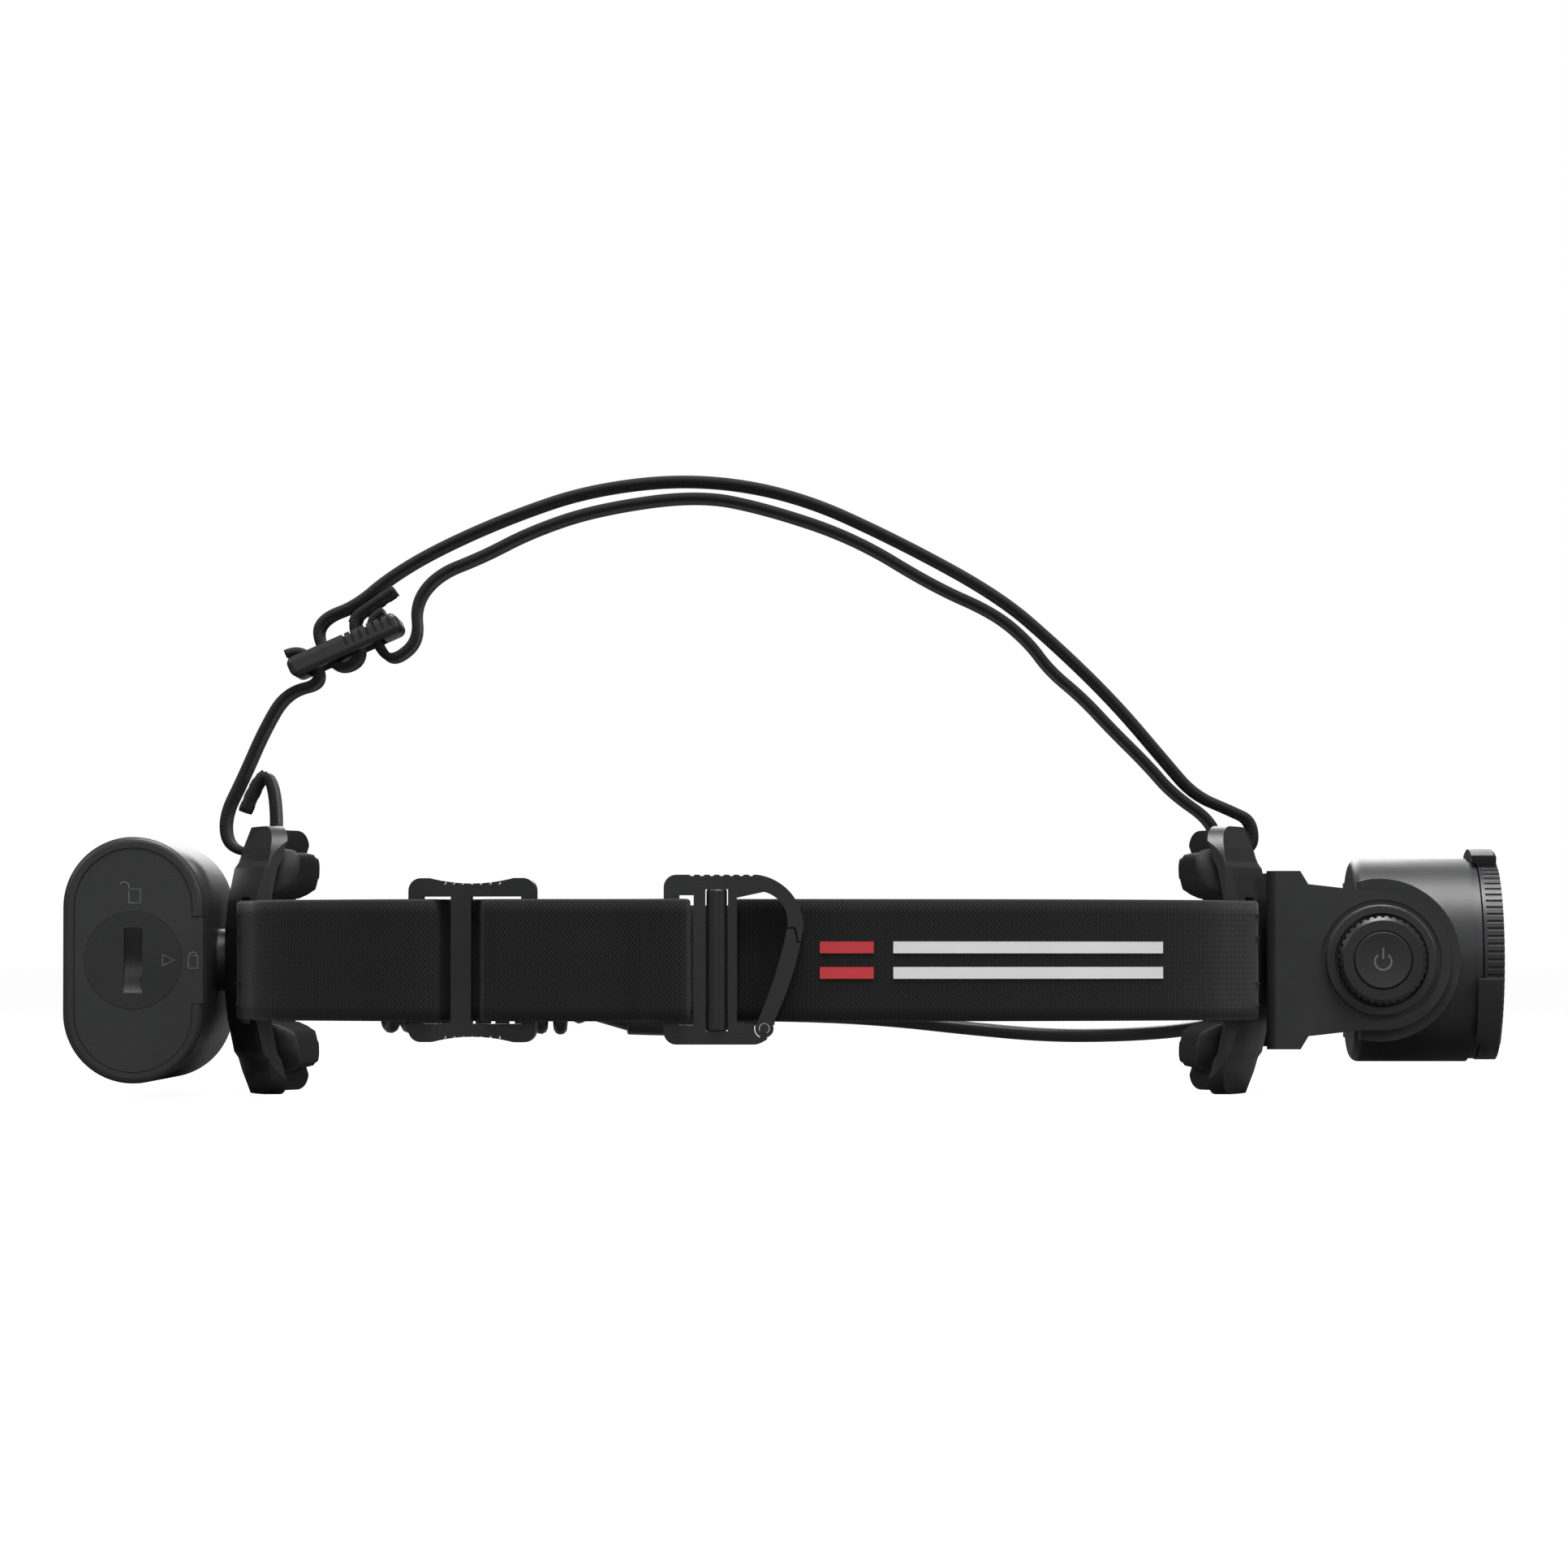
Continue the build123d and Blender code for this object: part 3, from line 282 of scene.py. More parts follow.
FINISH["clear"] = clear_plastic()
WEARS = {
    "shell": "lamp_housing rear_cap bracket front_stud rear_stud front_plate rear_plate battery_case "
             "pivot_cap front_bezel",
    "trim": "dimmer_dial focus_ring coin_lock ladder_buckle hook_frame hook_gate buckle_roller strap_slider "
            "connector_plug connector_socket lock_cam lens_carrier cell_cradle button_switch",
    "door": "battery_door",
    "rubber": "power_button window_seal door_seal lamp_gland case_gland",
    "board": "driver_board led_board charge_board",
    "alloy": "heat_sink",
    "plated": "button_spring contact_springs contact_plate",
    "cell": "cells",
    "phosphor": "led_emitter",
    "clear": "collimator_lens front_window",
}


def dress(node, finish):
    slots = NODES[node].material_slots
    if not slots:
        NODES[node].data.materials.append(finish)
    for used in slots:
        used.material = finish


for finish_name, nodes in WEARS.items():
    for node in nodes.split():
        dress(node, FINISH[finish_name])
print("dressed", sum(len(nodes.split()) for nodes in WEARS.values()))

# %% [markdown]
# The bands are woven polyester: thick warp cords along the band with a fine weft across, and a rolled
# selvedge. The pattern follows the cloth, so it reads the band's own UV map, in metres along and across.
# Waves give the threads, noise breaks them up, and both drive the bump and a slight change of shade.

# %% Shared group: woven threads
def woven_threads():
    tree, inside, out = make_group(
        "woven_threads", [("Warp Pitch", 0.0009), ("Weft Pitch", 0.0007)],
        [("Height", "NodeSocketFloat"), ("Shade", "NodeSocketFloat")])
    uv = tree.nodes.new("ShaderNodeTexCoord").outputs["UV"]
    split = tree.nodes.new("ShaderNodeSeparateXYZ")
    tree.links.new(uv, split.inputs[0])
    wobble = math_node(tree, "MULTIPLY", noise_node(tree, uv, 900.0, 2.0), 0.5)
    across = math_node(tree, "DIVIDE", split.outputs["Y"], inside.outputs["Warp Pitch"])
    along = math_node(tree, "DIVIDE", split.outputs["X"], inside.outputs["Weft Pitch"])
    turn = 2 * math.pi

    def thread_wave(count):
        shaken = math_node(tree, "ADD", count, wobble)
        return math_node(tree, "SINE", math_node(tree, "MULTIPLY", shaken, turn), 0)

    warp, weft = thread_wave(across), thread_wave(along)
    weave = math_node(tree, "MULTIPLY", math_node(tree, "MULTIPLY", warp, weft), 0.6)
    ribbed = math_node(tree, "ADD", weave, math_node(tree, "MULTIPLY", weft, 0.4))
    height = math_node(tree, "ADD", math_node(tree, "MULTIPLY", ribbed, 0.5), 0.5)
    cloudy = noise_node(tree, uv, 70.0, 3.0)
    shade = math_node(tree, "MULTIPLY", math_node(tree, "ADD", height, cloudy), 0.5)
    tree.links.new(height, out.inputs["Height"])
    tree.links.new(shade, out.inputs["Shade"])
    return tree


THREADS = woven_threads()


def webbing_material(name, dark, light, warp, weft, depth):
    material, tree, shader = plain_material(name)
    group = tree.nodes.new("ShaderNodeGroup")
    group.node_tree = THREADS
    group.inputs["Warp Pitch"].default_value = warp
    group.inputs["Weft Pitch"].default_value = weft
    shader.inputs["Roughness"].default_value = 0.82
    shader.inputs["Sheen Weight"].default_value = 0.12
    shader.inputs["Specular IOR Level"].default_value = 0.25
    blend_colours(tree, group.outputs["Shade"], dark, light, shader.inputs["Base Color"])
    bump(tree, group.outputs["Height"], depth, shader, 0.8)
    return material


FINISH["band"] = webbing_material(
    "black_band", (0.0025, 0.0025, 0.003), (0.010, 0.010, 0.011), 0.0011, 0.0009, 0.00015)
FINISH["strap"] = webbing_material(
    "black_strap", (0.004, 0.004, 0.005), (0.015, 0.015, 0.016), 0.0013, 0.0008, 0.00018)
FINISH["thread"] = moulded("sewing_thread", (0.020, 0.020, 0.021), (0.032, 0.032, 0.034), 0.6, 0.8, 4000.0)

# %% [markdown]
# A band could be an extruded strip, but a real one bends smoothly through its buckles and its edges are
# soft. So each route is a smooth spline, and a rounded section runs along it, upright all the way.

# %% A strap from a route
def line_from(points, steps=14):
    """The smooth line that a route's control points give, as a list of points in metres."""
    data = bpy.data.curves.new("route", "CURVE")
    data.dimensions = "3D"
    data.resolution_u = steps
    spline = data.splines.new("NURBS")
    spline.points.add(len(points) - 1)
    for control, place in zip(spline.points, points):
        control.co = (place[0] * MM, place[1] * MM, place[2] * MM, 1)
    spline.order_u = 3
    spline.use_endpoint_u = True
    carrier = bpy.data.objects.new("route", data)
    mesh = bpy.data.meshes.new_from_object(carrier)
    line = [v.co.copy() for v in mesh.vertices]
    bpy.data.meshes.remove(mesh)
    bpy.data.curves.remove(data)
    return line


def length_of(line):
    return sum((b - a).length for a, b in zip(line, line[1:]))


def direction_at(line, i):
    return (line[min(i + 1, len(line) - 1)] - line[max(i - 1, 0)]).normalized()


def strap_section(width, thick, rows=10):
    """Points round a strap's section: flat faces, a slightly thicker rolled edge, rounded corners."""
    half_w, half_t = width / 2, thick / 2
    face = []
    for i in range(rows + 1):
        across = -1 + 2 * i / rows
        edge = 1.0 if abs(across) > 0.75 else 0.9
        face.append((across * (half_w - half_t * 0.7), half_t * edge))
    side = [(half_w - half_t * 0.25, half_t * 0.62), (half_w, 0), (half_w - half_t * 0.25, -half_t * 0.62)]
    other = [(-a, -b) for a, b in side]
    return face + side + [(a, -b) for a, b in reversed(face)] + other


def add_piece(name, mesh, body):
    piece = bpy.data.objects.new(name, mesh)
    bpy.context.collection.objects.link(piece)
    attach(piece, body)
    return piece


def make_strap(name, line, width, thick, upright, finish):
    section = strap_section(width * MM, thick * MM)
    bm = bmesh.new()
    uv_layer = bm.loops.layers.uv.new("cloth")
    rings, walked, run = [], [], 0.0
    for i, place in enumerate(line):
        run += (place - line[i - 1]).length if i else 0.0
        out = direction_at(line, i).cross(upright).normalized()
        rings.append([bm.verts.new(place + upright * across + out * off) for across, off in section])
        walked.append(run)
    count = len(section)
    for i in range(len(rings) - 1):
        for j in range(count):
            k = (j + 1) % count
            face = bm.faces.new((rings[i][j], rings[i][k], rings[i + 1][k], rings[i + 1][j]))
            face.smooth = True
            for loop, (ring, at) in zip(face.loops, ((i, j), (i, k), (i + 1, k), (i + 1, j))):
                loop[uv_layer].uv = (walked[ring], section[at][0])
    bm.faces.new(list(reversed(rings[0])))
    bm.faces.new(rings[-1])
    bmesh.ops.recalc_face_normals(bm, faces=bm.faces)
    mesh = bpy.data.meshes.new(name)
    bm.to_mesh(mesh)
    bm.free()
    mesh.materials.append(finish)
    return mesh


# %% [markdown]
# The headband is three bands. The front one loops round the front plate's end bar and tucks into the hook
# buckle. The rear one loops round the rear plate, weaves through the ladder buckle and turns round the
# hook buckle's end bar. The far one joins both plates. The routes are the ones that the hard parts leave
# room for, in millimetres.

# %% Band routes
BAND_W, BAND_T = 25.0, 1.5
STRAP_W, STRAP_T = 15.0, 1.8
PLATE_CENTRE, PLATE_R, PLATE_T = 42.6, 70.0, 2.9
BAND_Y = -75.6
BUCKLE_Y = -78.2
BAR_CLEAR = 2.4      # how far the band passes in front of and behind the hook buckle's middle
LADDER_AT, LADDER_TURN = (-56.0, -71.0), -9.5
WEAVE = 2.15


def plate_fold(side, flip=1):
    inner = PLATE_R - PLATE_T
    spots = ((34.5, inner - 0.3), (23.5, inner - 2.0), (23.5, PLATE_R + 1.6), (31.0, PLATE_R + 2.0))
    return [(flip * (PLATE_CENTRE + r * math.cos(math.radians(a))), side * r * math.sin(math.radians(a)), 0)
            for a, r in spots]


def ladder_point(along, out):
    turn = math.radians(LADDER_TURN)
    return (LADDER_AT[0] + along * math.cos(turn) + out * math.sin(turn),
            LADDER_AT[1] + along * math.sin(turn) - out * math.cos(turn), 0)


FRONT_ROUTE = plate_fold(-1) + [
    (93.0, -54.5, 0), (64.0, -70.5, 0), (24.0, BAND_Y, 0), (-2.4, BAND_Y, 0), (-3.2, BAND_Y + 2.4, 0),
    (16.5, BAND_Y + 2.2, 0)]
REAR_ROUTE = plate_fold(-1, -1) + [
    (-101.5, -51.0, 0), (-84.0, -64.0, 0), ladder_point(-18.0, WEAVE + 0.1), ladder_point(-9.2, WEAVE),
    ladder_point(-6.2, -WEAVE), ladder_point(1.8, -WEAVE), ladder_point(3.2, WEAVE),
    ladder_point(17.0, WEAVE + 0.1), (-29.0, BAND_Y + 0.1, 0), (-21.8, BAND_Y - 1.6, 0),
    (-18.2, BUCKLE_Y - BAR_CLEAR, 0), (-12.1, BUCKLE_Y - BAR_CLEAR, 0), (-12.1, BUCKLE_Y + BAR_CLEAR, 0),
    (-18.0, BUCKLE_Y + BAR_CLEAR + 0.2, 0), (-32.0, BAND_Y + 2.4, 0)]
FAR_ROUTE = plate_fold(1) + [
    (93.0, 54.5, 0), (62.0, 71.0, 0), (12.0, 76.2, 0), (-44.0, 74.8, 0), (-86.0, 61.5, 0),
] + list(reversed(plate_fold(1, -1)))

UP = Vector((0, 0, 1))
LEFT = Vector((0, 1, 0))
BAND_ROUTES = {"band_front": FRONT_ROUTE, "band_rear": REAR_ROUTE, "band_far": FAR_ROUTE}
LINES = {node: line_from(points) for node, points in BAND_ROUTES.items()}
for node, line in LINES.items():
    mesh = make_strap(node + "_webbing", line, BAND_W, BAND_T, UP, FINISH["band"])
    band = add_piece(node + "_webbing", mesh, "headband")
    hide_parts(node)
    print(node, "length mm", round(length_of(line) / MM))

# %% [markdown]
# The narrower strap over the head is one length. It starts as a sewn free end, weaves through the slider,
# arches to the front plate, passes its slot and comes back below itself. A short strap ties the slider to
# the rear plate. Both stand on edge seen from the side, so their width runs left to right.

# %% Straps over the head
SLIDER_AT, SLIDER_TURN = (-86.75, 67.6), 24.0


def slider_point(along, up):
    turn = math.radians(SLIDER_TURN)
    return (SLIDER_AT[0] + along * math.cos(turn) - up * math.sin(turn), 0,
            SLIDER_AT[1] + along * math.sin(turn) + up * math.cos(turn))


def over(points):
    return [(x, 0, z) for x, z in points]


TOP_ROUTE = [
    slider_point(14.6, 6.9), slider_point(9.0, 5.9), slider_point(3.2, 4.8), slider_point(2.6, -4.1),
    slider_point(-4.4, -4.1), slider_point(-5.0, 4.8), slider_point(-1.6, 7.6)] + over((
        (-84.5, 76.4), (-77.5, 82.4), (-67.5, 88.4), (-52.0, 95.4), (-34.0, 101.6), (-11.5, 104.0),
        (10.5, 100.4), (32.0, 90.6), (54.0, 78.6), (66.5, 67.8), (79.0, 55.6), (90.0, 42.6), (96.0, 35.6), (104.0, 32.2),
        (108.6, 30.0), (108.8, 23.2), (101.2, 23.2), (100.2, 29.8),
        (91.5, 35.8), (86.0, 42.2), (78.5, 49.6), (72.0, 56.6), (65.0, 62.4), (60.5, 68.6), (53.0, 74.9),
        (40.0, 80.6), (23.0, 91.0), (4.0, 97.4), (-11.0, 100.4), (-33.0, 97.2), (-47.0, 92.4), (-57.5, 86.9),
        (-67.0, 83.2), (-71.9, 76.9), (-71.0, 69.0), (-76.0, 64.6))) + [
    slider_point(6.4, -4.6), slider_point(6.6, 3.5), slider_point(10.6, 3.5)]
SHORT_ROUTE = [slider_point(-12.4, 3.5), slider_point(-7.9, 3.5), slider_point(-7.2, -5.4)] + over((
    (-99.6, 57.8), (-104.4, 49.6), (-108.8, 39.4), (-113.2, 30.4), (-111.6, 23.2), (-101.6, 23.2),
    (-102.0, 37.4), (-105.0, 41.2), (-108.6, 31.8)))
LINES["top_strap"] = line_from(TOP_ROUTE)
LINES["rear_strap"] = line_from(SHORT_ROUTE)
for node in ("top_strap", "rear_strap"):
    mesh = make_strap(node + "_webbing", LINES[node], STRAP_W, STRAP_T, LEFT, FINISH["strap"])
    strap = add_piece(node + "_webbing", mesh, "headband")
    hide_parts(node)
    print(node, "length mm", round(length_of(LINES[node]) / MM))

# %% [markdown]
# Sewing is a small thing that repeats along a line, so Geometry Nodes place it: a line is resampled at the
# stitch pitch, a short thread is set on every point and turned along it, and the result becomes one mesh.

# %% Stitches with Geometry Nodes
def stitch_tree():
    tree = bpy.data.node_groups.new("stitches", "GeometryNodeTree")
    tree.interface.new_socket(name="Seam", in_out="INPUT", socket_type="NodeSocketGeometry")
    for label, value in (("Pitch", 0.0025), ("Stitch Length", 0.0017), ("Thread Radius", 0.00022)):
        socket = tree.interface.new_socket(name=label, in_out="INPUT", socket_type="NodeSocketFloat")
        socket.default_value = value
    tree.interface.new_socket(name="Stitches", in_out="OUTPUT", socket_type="NodeSocketGeometry")
    inside, out = tree.nodes.new("NodeGroupInput"), tree.nodes.new("NodeGroupOutput")
    curve = tree.nodes.new("GeometryNodeMeshToCurve")
    dots = tree.nodes.new("GeometryNodeCurveToPoints")
    dots.mode = "LENGTH"
    thread = tree.nodes.new("GeometryNodeMeshCylinder")
    thread.inputs["Vertices"].default_value = 8
    place = tree.nodes.new("GeometryNodeInstanceOnPoints")
    turn = tree.nodes.new("FunctionNodeAlignEulerToVector")
    turn.axis = "Z"
    real = tree.nodes.new("GeometryNodeRealizeInstances")
    paint = tree.nodes.new("GeometryNodeSetMaterial")
    paint.inputs["Material"].default_value = FINISH["thread"]
    link = tree.links.new
    link(inside.outputs["Seam"], curve.inputs[0])
    link(curve.outputs[0], dots.inputs["Curve"])
    link(inside.outputs["Pitch"], dots.inputs["Length"])
    link(inside.outputs["Stitch Length"], thread.inputs["Depth"])
    link(inside.outputs["Thread Radius"], thread.inputs["Radius"])
    link(dots.outputs["Points"], place.inputs["Points"])
    link(dots.outputs["Tangent"], turn.inputs["Vector"])
    link(thread.outputs["Mesh"], place.inputs["Instance"])
    link(turn.outputs["Rotation"], place.inputs["Rotation"])
    link(place.outputs[0], real.inputs[0])
    link(real.outputs[0], paint.inputs[0])
    link(paint.outputs[0], out.inputs[0])
    return tree


STITCHES = stitch_tree()


def baked(name, seams, tree):
    """A plain mesh of what a Geometry Nodes tree makes on a set of seam lines."""
    bm = bmesh.new()
    for seam in seams:
        dots = [bm.verts.new(p) for p in seam]
        for a, b in zip(dots, dots[1:]):
            bm.edges.new((a, b))
    source = bpy.data.meshes.new(name + "_seams")
    bm.to_mesh(source)
    bm.free()
    carrier = bpy.data.objects.new(name + "_seams", source)
    bpy.context.collection.objects.link(carrier)
    modifier = carrier.modifiers.new("stitches", "NODES")
    modifier.node_group = tree
    bpy.context.view_layer.update()
    mesh = bpy.data.meshes.new_from_object(carrier.evaluated_get(bpy.context.evaluated_depsgraph_get()))
    bpy.data.objects.remove(carrier)
    mesh.name = name
    return mesh


def seam_on(line, upright, across, start, end, face, thick):
    """A seam on one face of a strap between two lengths along it."""
    seam, run = [], 0.0
    for i, place in enumerate(line):
        run += (place - line[i - 1]).length if i else 0.0
        if start * MM <= run <= end * MM:
            out = direction_at(line, i).cross(upright).normalized()
            # just above the flat part of the strap's face
            seam.append(place + upright * across * MM + out * face * (thick * 0.45 * MM + 0.00008))
    return seam


def total(node):
    return length_of(LINES[node]) / MM


# Each seam's start and end are in mm along its own strap, and its rows in mm from the strap's middle.
BAND_SEAM, BAND_ROWS = (15, 20), (-9.5, -4.8, 4.8, 9.5)
FREE_END_SEAM = (1.5, 11)
RETURN_SEAM = (total("rear_strap") - 9, total("rear_strap") - 1)
STRAP_ROWS = (-5.6, 5.6)
SEAMS = []
for node in ("band_front", "band_rear"):
    for across in BAND_ROWS:
        for face in (1, -1):
            SEAMS.append(seam_on(LINES[node], UP, across, *BAND_SEAM, face, BAND_T))
for face in (-1, 1):
    for across in STRAP_ROWS:
        SEAMS.append(seam_on(LINES["top_strap"], LEFT, across, *FREE_END_SEAM, face, STRAP_T))
        SEAMS.append(seam_on(LINES["rear_strap"], LEFT, across, *RETURN_SEAM, face, STRAP_T))
SEAMS = [seam for seam in SEAMS if len(seam) > 1]
add_piece("band_stitching", baked("band_stitching", SEAMS, STITCHES), "headband")
print("seams", len(SEAMS))

# %% [markdown]
# The pads are soft foam in a skin. A CAD block has sharp edges, so each pad starts as a copy of its solid,
# is remeshed into small even faces and is relaxed until its edges round over.

# %% Pads
def soft_copy(node, name, voxel, rounds):
    copy = bpy.data.objects.new(name, NODES[node].data.copy())
    bpy.context.collection.objects.link(copy)
    copy.data.materials.clear()
    bm = bmesh.new()
    bm.from_mesh(copy.data)
    bmesh.ops.remove_doubles(bm, verts=bm.verts, dist=1e-6)
    bm.to_mesh(copy.data)
    bm.free()
    remesh = copy.modifiers.new("even_faces", "REMESH")
    remesh.mode = "VOXEL"
    remesh.voxel_size = voxel
    relax = copy.modifiers.new("relax", "SMOOTH")
    relax.factor = 0.6
    relax.iterations = rounds
    bpy.context.view_layer.update()
    mesh = bpy.data.meshes.new_from_object(copy.evaluated_get(bpy.context.evaluated_depsgraph_get()))
    bpy.data.objects.remove(copy)
    mesh.name = name
    mesh.materials.append(FINISH["foam"])
    for face in mesh.polygons:
        face.use_smooth = True
    return mesh


for end in ("front", "rear"):
    cushion = soft_copy(end + "_pad", end + "_cushion", 0.0009, 9)
    pad = add_piece(end + "_cushion", cushion, "headband")
    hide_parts(end + "_pad")
    print(pad.name, "faces", len(pad.data.polygons))

# %% [markdown]
# The lead from the lamp is an ordinary round cable in a loose curve. Behind the connector it is curly, so
# the battery end can stretch: a helix wound on the route's own smooth line, with a small gap between its
# turns. It runs plain again into the battery case. The lengths of both are measured and printed.

# %% Cable
CABLE_D = 0.0032
GLAND_TIP = (114.0, 29.4, -8.0)
CASE_EXIT = (-123.0, 43.0, -8.0)
LINK_FRONT = (2.0, 85.4, -12.5)
LINK_REAR = (-36.0, 85.4, -11.4)
LEAD_ROUTE = [
    GLAND_TIP, (112.2, 31.6, -8.6), (111.4, 36.4, -10.6), (107.2, 46.0, -13.4), (97.8, 59.6, -15.8),
    (84.0, 70.6, -17.0), (68.0, 77.8, -17.2), (50.0, 82.4, -15.6), (32.0, 84.8, -13.6), (14.0, 85.5, -12.6),
    LINK_FRONT]
TAIL_ROUTE = [
    CASE_EXIT, (-123.0, 46.2, -8.0), (-121.8, 51.4, -8.2), (-116.6, 56.8, -9.2), (-109.0, 59.6, -10.2),
    (-101.0, 61.2, -10.6), (-94.0, 64.4, -10.6)]
CURLY_ROUTE = [(-88.0, 67.6, -10.6), (-74.0, 75.0, -10.6), (-56.0, 82.4, -10.6), LINK_REAR]
CURL_R = 4.35
CURL_PITCH = 4.5
CURL_INSET = 3                 # mm of the curly stretch that stay plain at each end
PER_TURN = 12
EASE_START, EASE_STEPS = 3, 9  # the coil opens from a third of its radius over its first and last steps


def round_lead(name, points, body):
    data = bpy.data.curves.new(name, "CURVE")
    data.dimensions = "3D"
    data.resolution_u = 6
    data.bevel_depth = CABLE_D / 2
    data.bevel_resolution = 3
    data.use_fill_caps = True
    spline = data.splines.new("NURBS")
    spline.points.add(len(points) - 1)
    for control, place in zip(spline.points, points):
        control.co = (place[0] * MM, place[1] * MM, place[2] * MM, 1)
    spline.order_u = 3
    spline.use_endpoint_u = True
    data.materials.append(FINISH["sheath"])
    lead = bpy.data.objects.new(name, data)
    bpy.context.collection.objects.link(lead)
    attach(lead, body)
    return lead


def curl_points():
    """Control points of the helix, wound round the smooth line of the curly stretch."""
    line = line_from(CURLY_ROUTE, 40)
    long = length_of(line) / MM
    coiled = long - 2 * CURL_INSET
    turns = round(coiled / CURL_PITCH)
    steps = turns * PER_TURN
    points, run, i = [], 0.0, 0
    walked = [0.0]
    for a, b in zip(line, line[1:]):
        walked.append(walked[-1] + (b - a).length / MM)
    for step in range(steps + 1):
        at = CURL_INSET + coiled * step / steps
        while walked[i + 1] < at:
            i += 1
        share = (at - walked[i]) / (walked[i + 1] - walked[i])
        centre = line[i].lerp(line[i + 1], share) / MM
        ahead = (line[i + 1] - line[i]).normalized()
        side = ahead.cross(UP).normalized()
        angle = 2 * math.pi * step / PER_TURN + math.pi / 2
        ease = min(1.0, (step + EASE_START) / EASE_STEPS, (steps - step + EASE_START) / EASE_STEPS)
        radius = CURL_R * ease / math.cos(math.pi / PER_TURN)
        points.append(tuple(centre + side * radius * math.cos(angle) - UP * radius * math.sin(angle)))
    return points


lead = round_lead("lamp_lead", LEAD_ROUTE, "headband")
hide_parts("lead_front")
curly = round_lead("curly_cable", TAIL_ROUTE + curl_points() + [LINK_REAR], "headband")
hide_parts("lead_rear", "curly_lead")


def cord_length(cord):
    bare = cord.data.copy()
    bare.bevel_depth = 0
    carrier = bpy.data.objects.new("bare", bare)
    mesh = bpy.data.meshes.new_from_object(carrier)
    long = length_of([v.co for v in mesh.vertices])
    bpy.data.meshes.remove(mesh)
    bpy.data.curves.remove(bare)
    return long


print("lead", cord_length(lead), "curly", cord_length(curly))


# %% [markdown]
# Small marks finish the surfaces: a power sign in the button's dish, an open padlock above the coin lock, a
# closed one beside it, an arrow on the lock, and plain pale and red stripes on the band. Each is a strip
# along a short outline, so one function draws them all, with a line width and a little height of their own.

# %% Printed and moulded marks
def arc(cx, cz, radius, start, end, steps=24):
    """Points of an arc in the X-Z plane; angles in degrees, counted from straight right, upwards."""
    turns = [math.radians(start + (end - start) * i / steps) for i in range(steps + 1)]
    return [(cx + radius * math.cos(t), cz + radius * math.sin(t)) for t in turns]


def add_mark(name, lines, depth_at, width, height, body, finish):
    """Strips along X-Z outlines in mm, standing out towards -Y from a surface at depth_at(x, z)."""
    bm = bmesh.new()
    for line in lines:
        rows = []
        for i, (x, z) in enumerate(line):
            ahead = Vector(line[min(i + 1, len(line) - 1)]) - Vector(line[max(i - 1, 0)])
            side = Vector((-ahead.y, ahead.x)).normalized() * width / 2
            row = []
            for sign, out in ((-1, 0.02), (-1, -height), (1, -height), (1, 0.02)):
                px, pz = x + side.x * sign, z + side.y * sign
                row.append(bm.verts.new((px * MM, (depth_at(px, pz) + out) * MM, pz * MM)))
            rows.append(row)
        for a, b in zip(rows, rows[1:]):
            for k in range(4):
                bm.faces.new((a[k], a[(k + 1) % 4], b[(k + 1) % 4], b[k]))
        bm.faces.new(rows[0])
        bm.faces.new(list(reversed(rows[-1])))
    bmesh.ops.recalc_face_normals(bm, faces=bm.faces)
    mesh = bpy.data.meshes.new(name)
    bm.to_mesh(mesh)
    bm.free()
    mesh.materials.append(FINISH[finish])
    return add_piece(name, mesh, body)


BUTTON_X, BUTTON_FACE, BOWL_R, BOWL_DEPTH = 134.1, -30.9, 40.0, 0.42


def dish(x, z):
    """Depth of the button's dished face."""
    away = math.hypot(x - BUTTON_X, z)
    sunk = BOWL_DEPTH - (BOWL_R - math.sqrt(BOWL_R ** 2 - away ** 2))
    return BUTTON_FACE + max(0.0, sunk)


CASE_X, DOOR_FACE, LOCK_FACE = -128.8, -38.8, -38.85
POWER = [arc(BUTTON_X, -0.3, 1.75, 128, 412), [(BUTTON_X, 0.2), (BUTTON_X, 2.6)]]


def box_line(x0, x1, z0, z1):
    """The closed outline of a box, started at its lower left corner."""
    return [(x0, z0), (x1, z0), (x1, z1), (x0, z1), (x0, z0)]


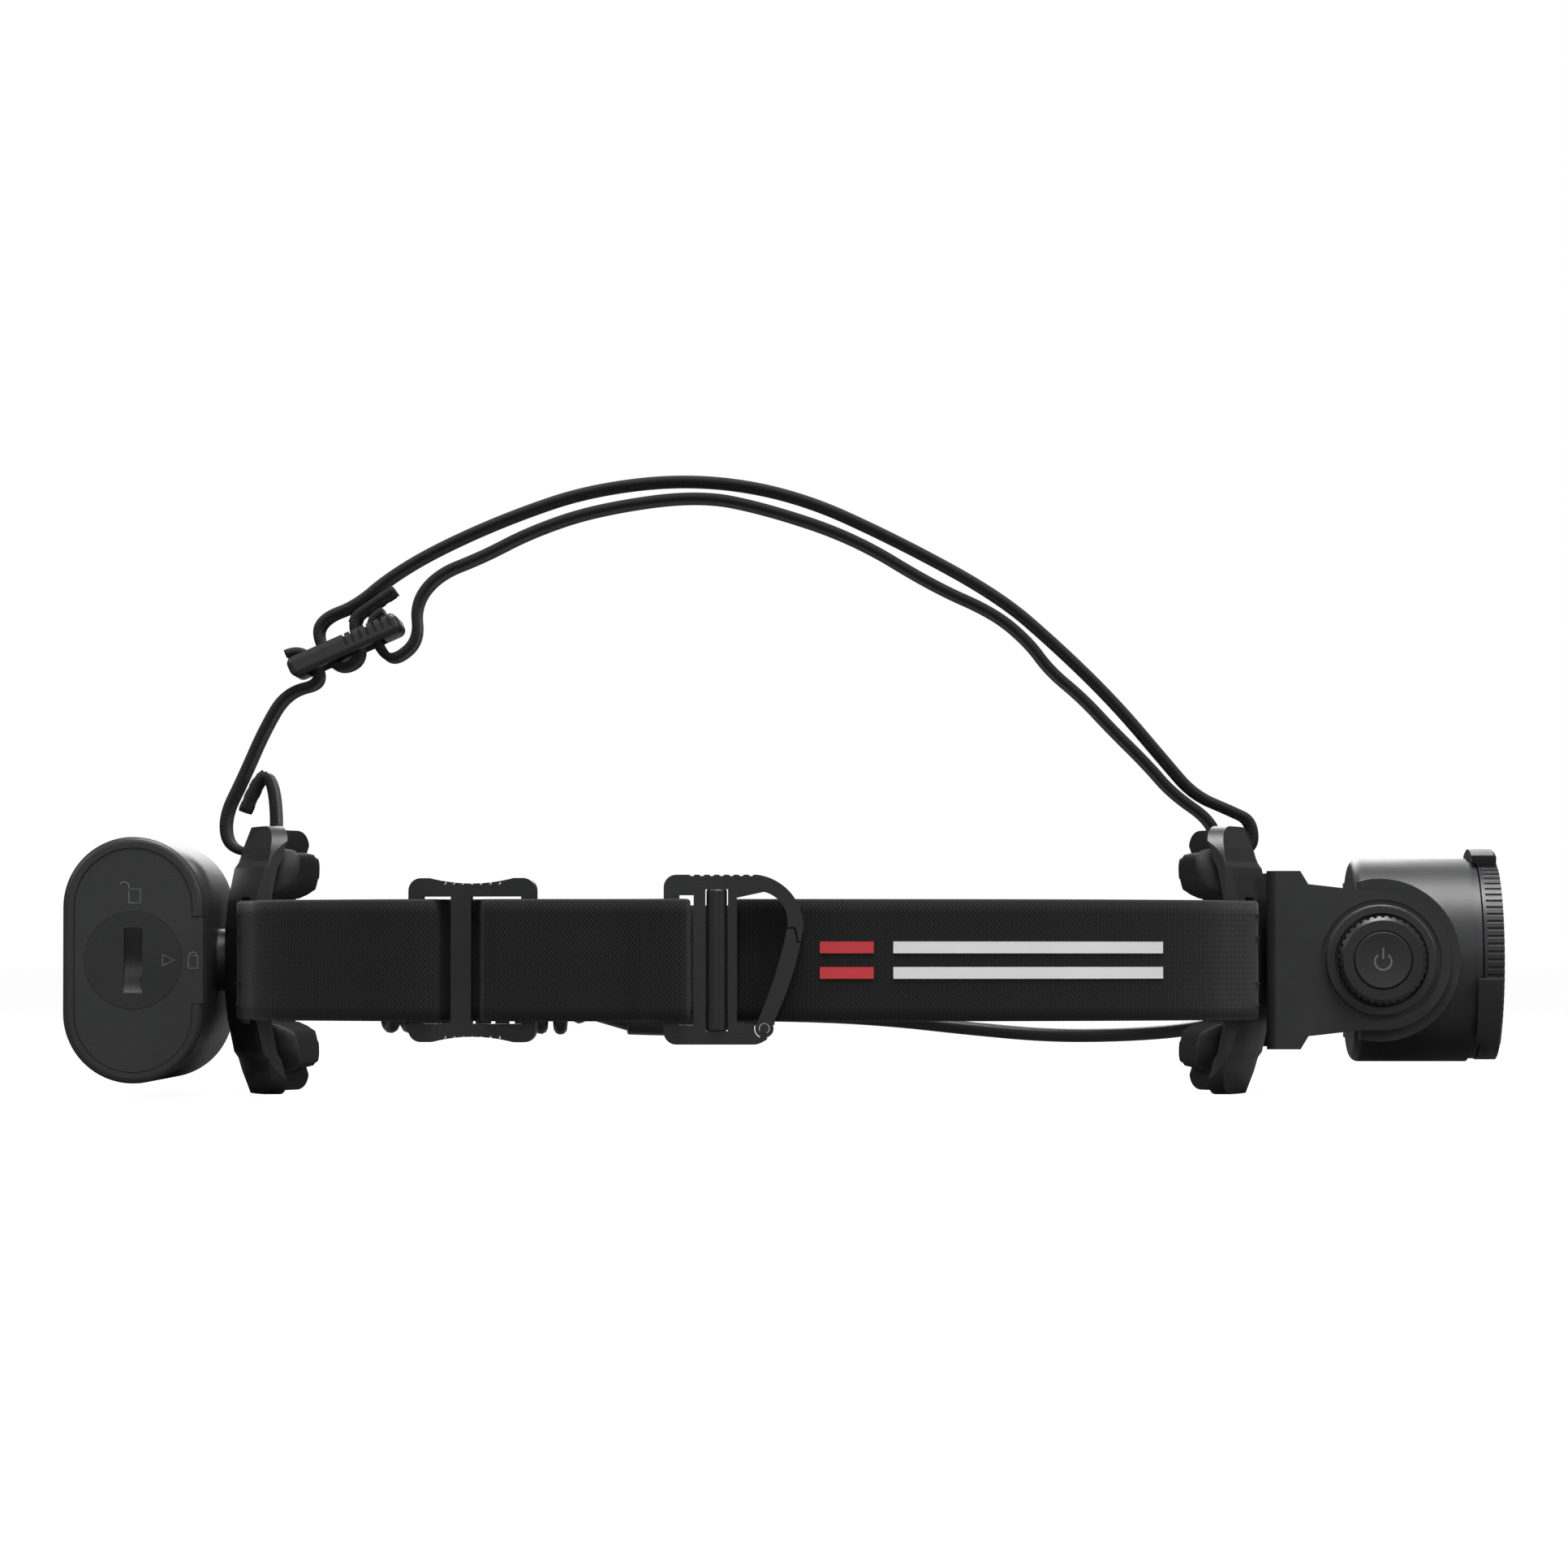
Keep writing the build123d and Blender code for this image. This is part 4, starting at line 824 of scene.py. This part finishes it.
OPEN_LOCK = [
    box_line(CASE_X - 0.9, CASE_X + 1.5, 12.0, 14.9),
    [(CASE_X - 0.9, 14.6)] + arc(CASE_X - 1.9, 15.4, 1.0, 0, 150, 10)]
SHUT_LOCK = [
    box_line(CASE_X + 11.6, CASE_X + 13.6, -1.7, 0.9),
    arc(CASE_X + 12.6, 0.9, 0.8, 0, 180, 12)]
ARROW = [[(CASE_X + 6.2, -1.2), (CASE_X + 8.6, 0), (CASE_X + 6.2, 1.2), (CASE_X + 6.2, -1.2)]]


def band_face(x, z):
    """Depth of the front band's outer face at a place along it, where the band faces the wearer's right."""
    for a, b in zip(LINES["band_front"], LINES["band_front"][1:]):
        if b.x < a.x and b.x <= x * MM <= a.x and a.y < -0.05:
            slant = (b - a).length / (a.x - b.x)
            share = (a.x - x * MM) / (a.x - b.x)
            return (a.y + (b.y - a.y) * share) / MM - BAND_T / 2 * slant
    return BAND_Y - BAND_T / 2


def stripe(start, end, z, steps=40):
    return [(start + (end - start) * i / steps, z) for i in range(steps + 1)]


def door_face(x, z):
    return DOOR_FACE


def lock_face(x, z):
    return LOCK_FACE


SIGN_W, SIGN_OUT = 0.42, 0.06       # width and height of the power sign's lines
FINE_W, FINE_OUT = 0.26, 0.05       # of the small signs on the battery door and its lock
STRIPE_W, STRIPE_OUT = 2.4, 0.12    # of the stripes printed on the band
STRIPE_ROWS = (2.6, -2.6)
PALE_SPAN, RED_SPAN = (30, 86), (15, 26)
PALE_STRIPES = [stripe(*PALE_SPAN, z) for z in STRIPE_ROWS]
RED_STRIPES = [stripe(*RED_SPAN, z) for z in STRIPE_ROWS]
add_mark("power_sign", POWER, dish, SIGN_W, SIGN_OUT, "button", "print")
add_mark("open_padlock", OPEN_LOCK, door_face, FINE_W, FINE_OUT, "door", "print")
add_mark("shut_padlock", SHUT_LOCK, door_face, FINE_W, FINE_OUT, "door", "print")
add_mark("lock_arrow", ARROW, lock_face, FINE_W, FINE_OUT, "lock", "print")
add_mark("reflective_stripes", PALE_STRIPES, band_face, STRIPE_W, STRIPE_OUT, "headband", "reflective")
add_mark("red_stripes", RED_STRIPES, band_face, STRIPE_W, STRIPE_OUT, "headband", "red")
